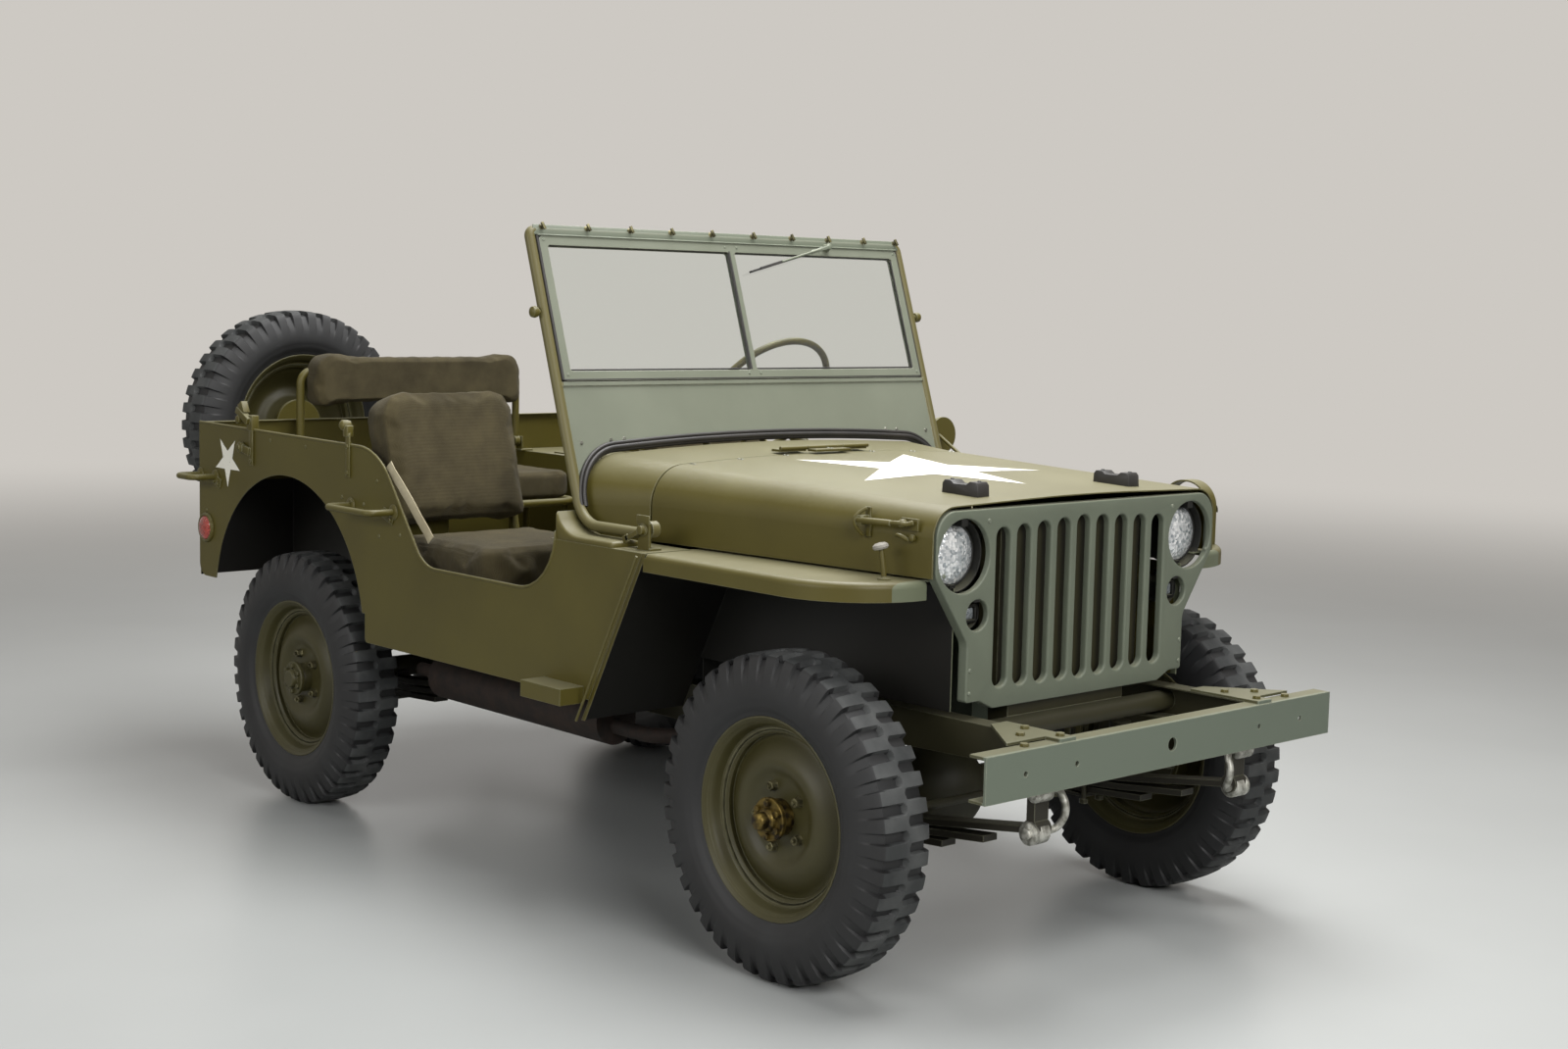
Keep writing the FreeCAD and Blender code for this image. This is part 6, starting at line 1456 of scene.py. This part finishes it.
# %%
# Sections in mm: along the axle from the wheel's middle plane, radius.
HALF_RIM = [(65.6, 220.8), (65.0, 218.8), (63.4, 217.0), (61.0, 213.0), (56.0, 208.0), (50.0, 204.5),
            (44.0, 201.5), (36.0, 199.5), (31.5, 197.5), (27.0, 190.0), (23.5, 183.5), (20.0, 180.2)]
HALF_SEAT = [(64.8, 222.6), (62.5, 223.0), (60.5, 221.0), (59.5, 217.0), (57.0, 210.0), (52.0, 206.6),
             (36.0, 203.0), (33.0, 202.5), (26.0, 188.0), (21.5, 184.0)]
RIM = HALF_RIM + [(-a, r) for a, r in HALF_RIM[::-1]] + [(-a, r) for a, r in HALF_SEAT] + HALF_SEAT[::-1]
FACE = [(27, 40), (27, 84), (28.5, 90), (32, 97), (36.5, 104), (39.5, 111), (40.5, 118), (39.5, 126),
        (36, 135), (30, 145), (22, 156), (15, 164), (10.5, 170), (8, 176), (7.5, 180.5)]
DISC_WALL = 5
DISC = FACE + [(a - DISC_WALL, r) for a, r in FACE[::-1]]
DRUM = [(21.8, 39), (21.8, 118), (20, 124), (17, 126), (-36, 126), (-36, 131), (-40, 131), (-40, 39)]
HUB = [(-30, 0), (-30, 41), (44, 41), (50, 39.5), (54, 38), (54, 46), (56, 48), (64, 48), (66, 46), (66, 27),
       (72, 26)]
FRONT_CAP = [(76, 24), (79, 19.5), (94, 19), (97, 18), (99.5, 15), (100, 0)]
REAR_CAP = [(78, 24.5), (80.2, 22), (80.2, 0)]
STUD_AND_NUT = [(0, 0), (0, 13), (4, 11), (14.5, 11), (15.5, 9.5), (15.5, 5.2), (21, 5), (22, 0)]
SCREW = [(0, 0), (0, 7.8), (7, 7.8), (7.8, 6), (7.8, 0)]
WHEEL_Y = 0.6225
# Circles of the studs and the screws: radius, and how far out from the middle plane they stand.
STUD_CIRCLE, STUD_FOOT = 0.06985, 0.027
SCREW_CIRCLE, SCREW_FOOT = 0.0365, 0.066
# The way to the first stud: on an axle the pattern stands turned, as the car rolled to a stop.
FIRST_STUD, SPARE_STUD = Vector((-0.34, 0, 0.94)), Vector((0, 0, 1))


def turned_mm(bm, rows, base, axis, turns, ring=False):
    """Turn a section given in mm."""
    lathe(bm, [(a / 1000, r / 1000) for a, r in rows], base, axis, turns, ring)


def round_the_axle(name, rows, foot, centre, outward, count, material, body):
    """A six-sided screw or nut, repeated round the axle."""
    bm = bmesh.new()
    turned_mm(bm, rows, foot, outward, 6)
    piece = mesh_object(name, bm, None)
    settle(piece, ROUND, Count=count, Centre=centre, Axle=outward, Material=material)
    hand_over(piece, body, 30)


for name, body, outward in WHEELS:
    outward = Vector(outward)
    centre = middle_of("wheel_" + name)
    on_axle = name != "spare"
    if on_axle:
        centre.y = WHEEL_Y * outward.y
    bm = bmesh.new()
    for rows in (RIM, DISC, DRUM)[:3 if on_axle else 2]:
        turned_mm(bm, rows, centre, outward, 72, ring=True)
    dress("disc_wheel_" + name, bm, WHEEL, body, sharp=32, stands_for="wheel_" + name)
    foot = centre + (FIRST_STUD if on_axle else SPARE_STUD) * STUD_CIRCLE + outward * STUD_FOOT
    round_the_axle("wheel_nuts_" + name, STUD_AND_NUT, foot, centre, outward, 5, WORN_STEEL, body)
    if on_axle:
        front = "front" in name
        finish = BRONZE if front else WHEEL
        bm = bmesh.new()
        turned_mm(bm, HUB + (FRONT_CAP if front else REAR_CAP), centre, outward, 32)
        dress("drive_hub_" + name, bm, finish, body)
        foot = centre + Vector((0, 0, SCREW_CIRCLE)) + outward * SCREW_FOOT
        round_the_axle("flange_screws_" + name, SCREW, foot, centre, outward, 6, finish, body)

# %% [markdown]
# ## Finishes of the CAD solids
# Each CAD node takes one finish. The table names them in groups; what isn't in it is olive enamel.

# %%
FINISHES = [
    (SCREEN, "windshield_frame windshield_sash"),
    (BUMPER, "front_bumper"),
    (FENDER, "fender_left fender_right"),
    (BODY, "tub_floor wheelhouses cowl tub_side_left tub_side_right rear_panel"),
    (DARK, "fuel_tank headlamps"),
    (CHASSIS, "front_axle rear_axle knuckle_left knuckle_right tie_rod prop_shafts chassis_frame radiator"),
    (SPRING, "leaf_springs"),
    (RUST_WITH_PAINTED_SHADE, "exhaust"),
    (GLASS, "windshield_glass"),
    (ENGINE, "engine_and_gearbox"),
]
finish_of = {node: material for material, nodes in FINISHES for node in nodes.split()}
for node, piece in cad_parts.items():
    piece.data.materials.clear()
    piece.data.materials.append(finish_of.get(node, OLIVE))
print(len(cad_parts), "solids finished")
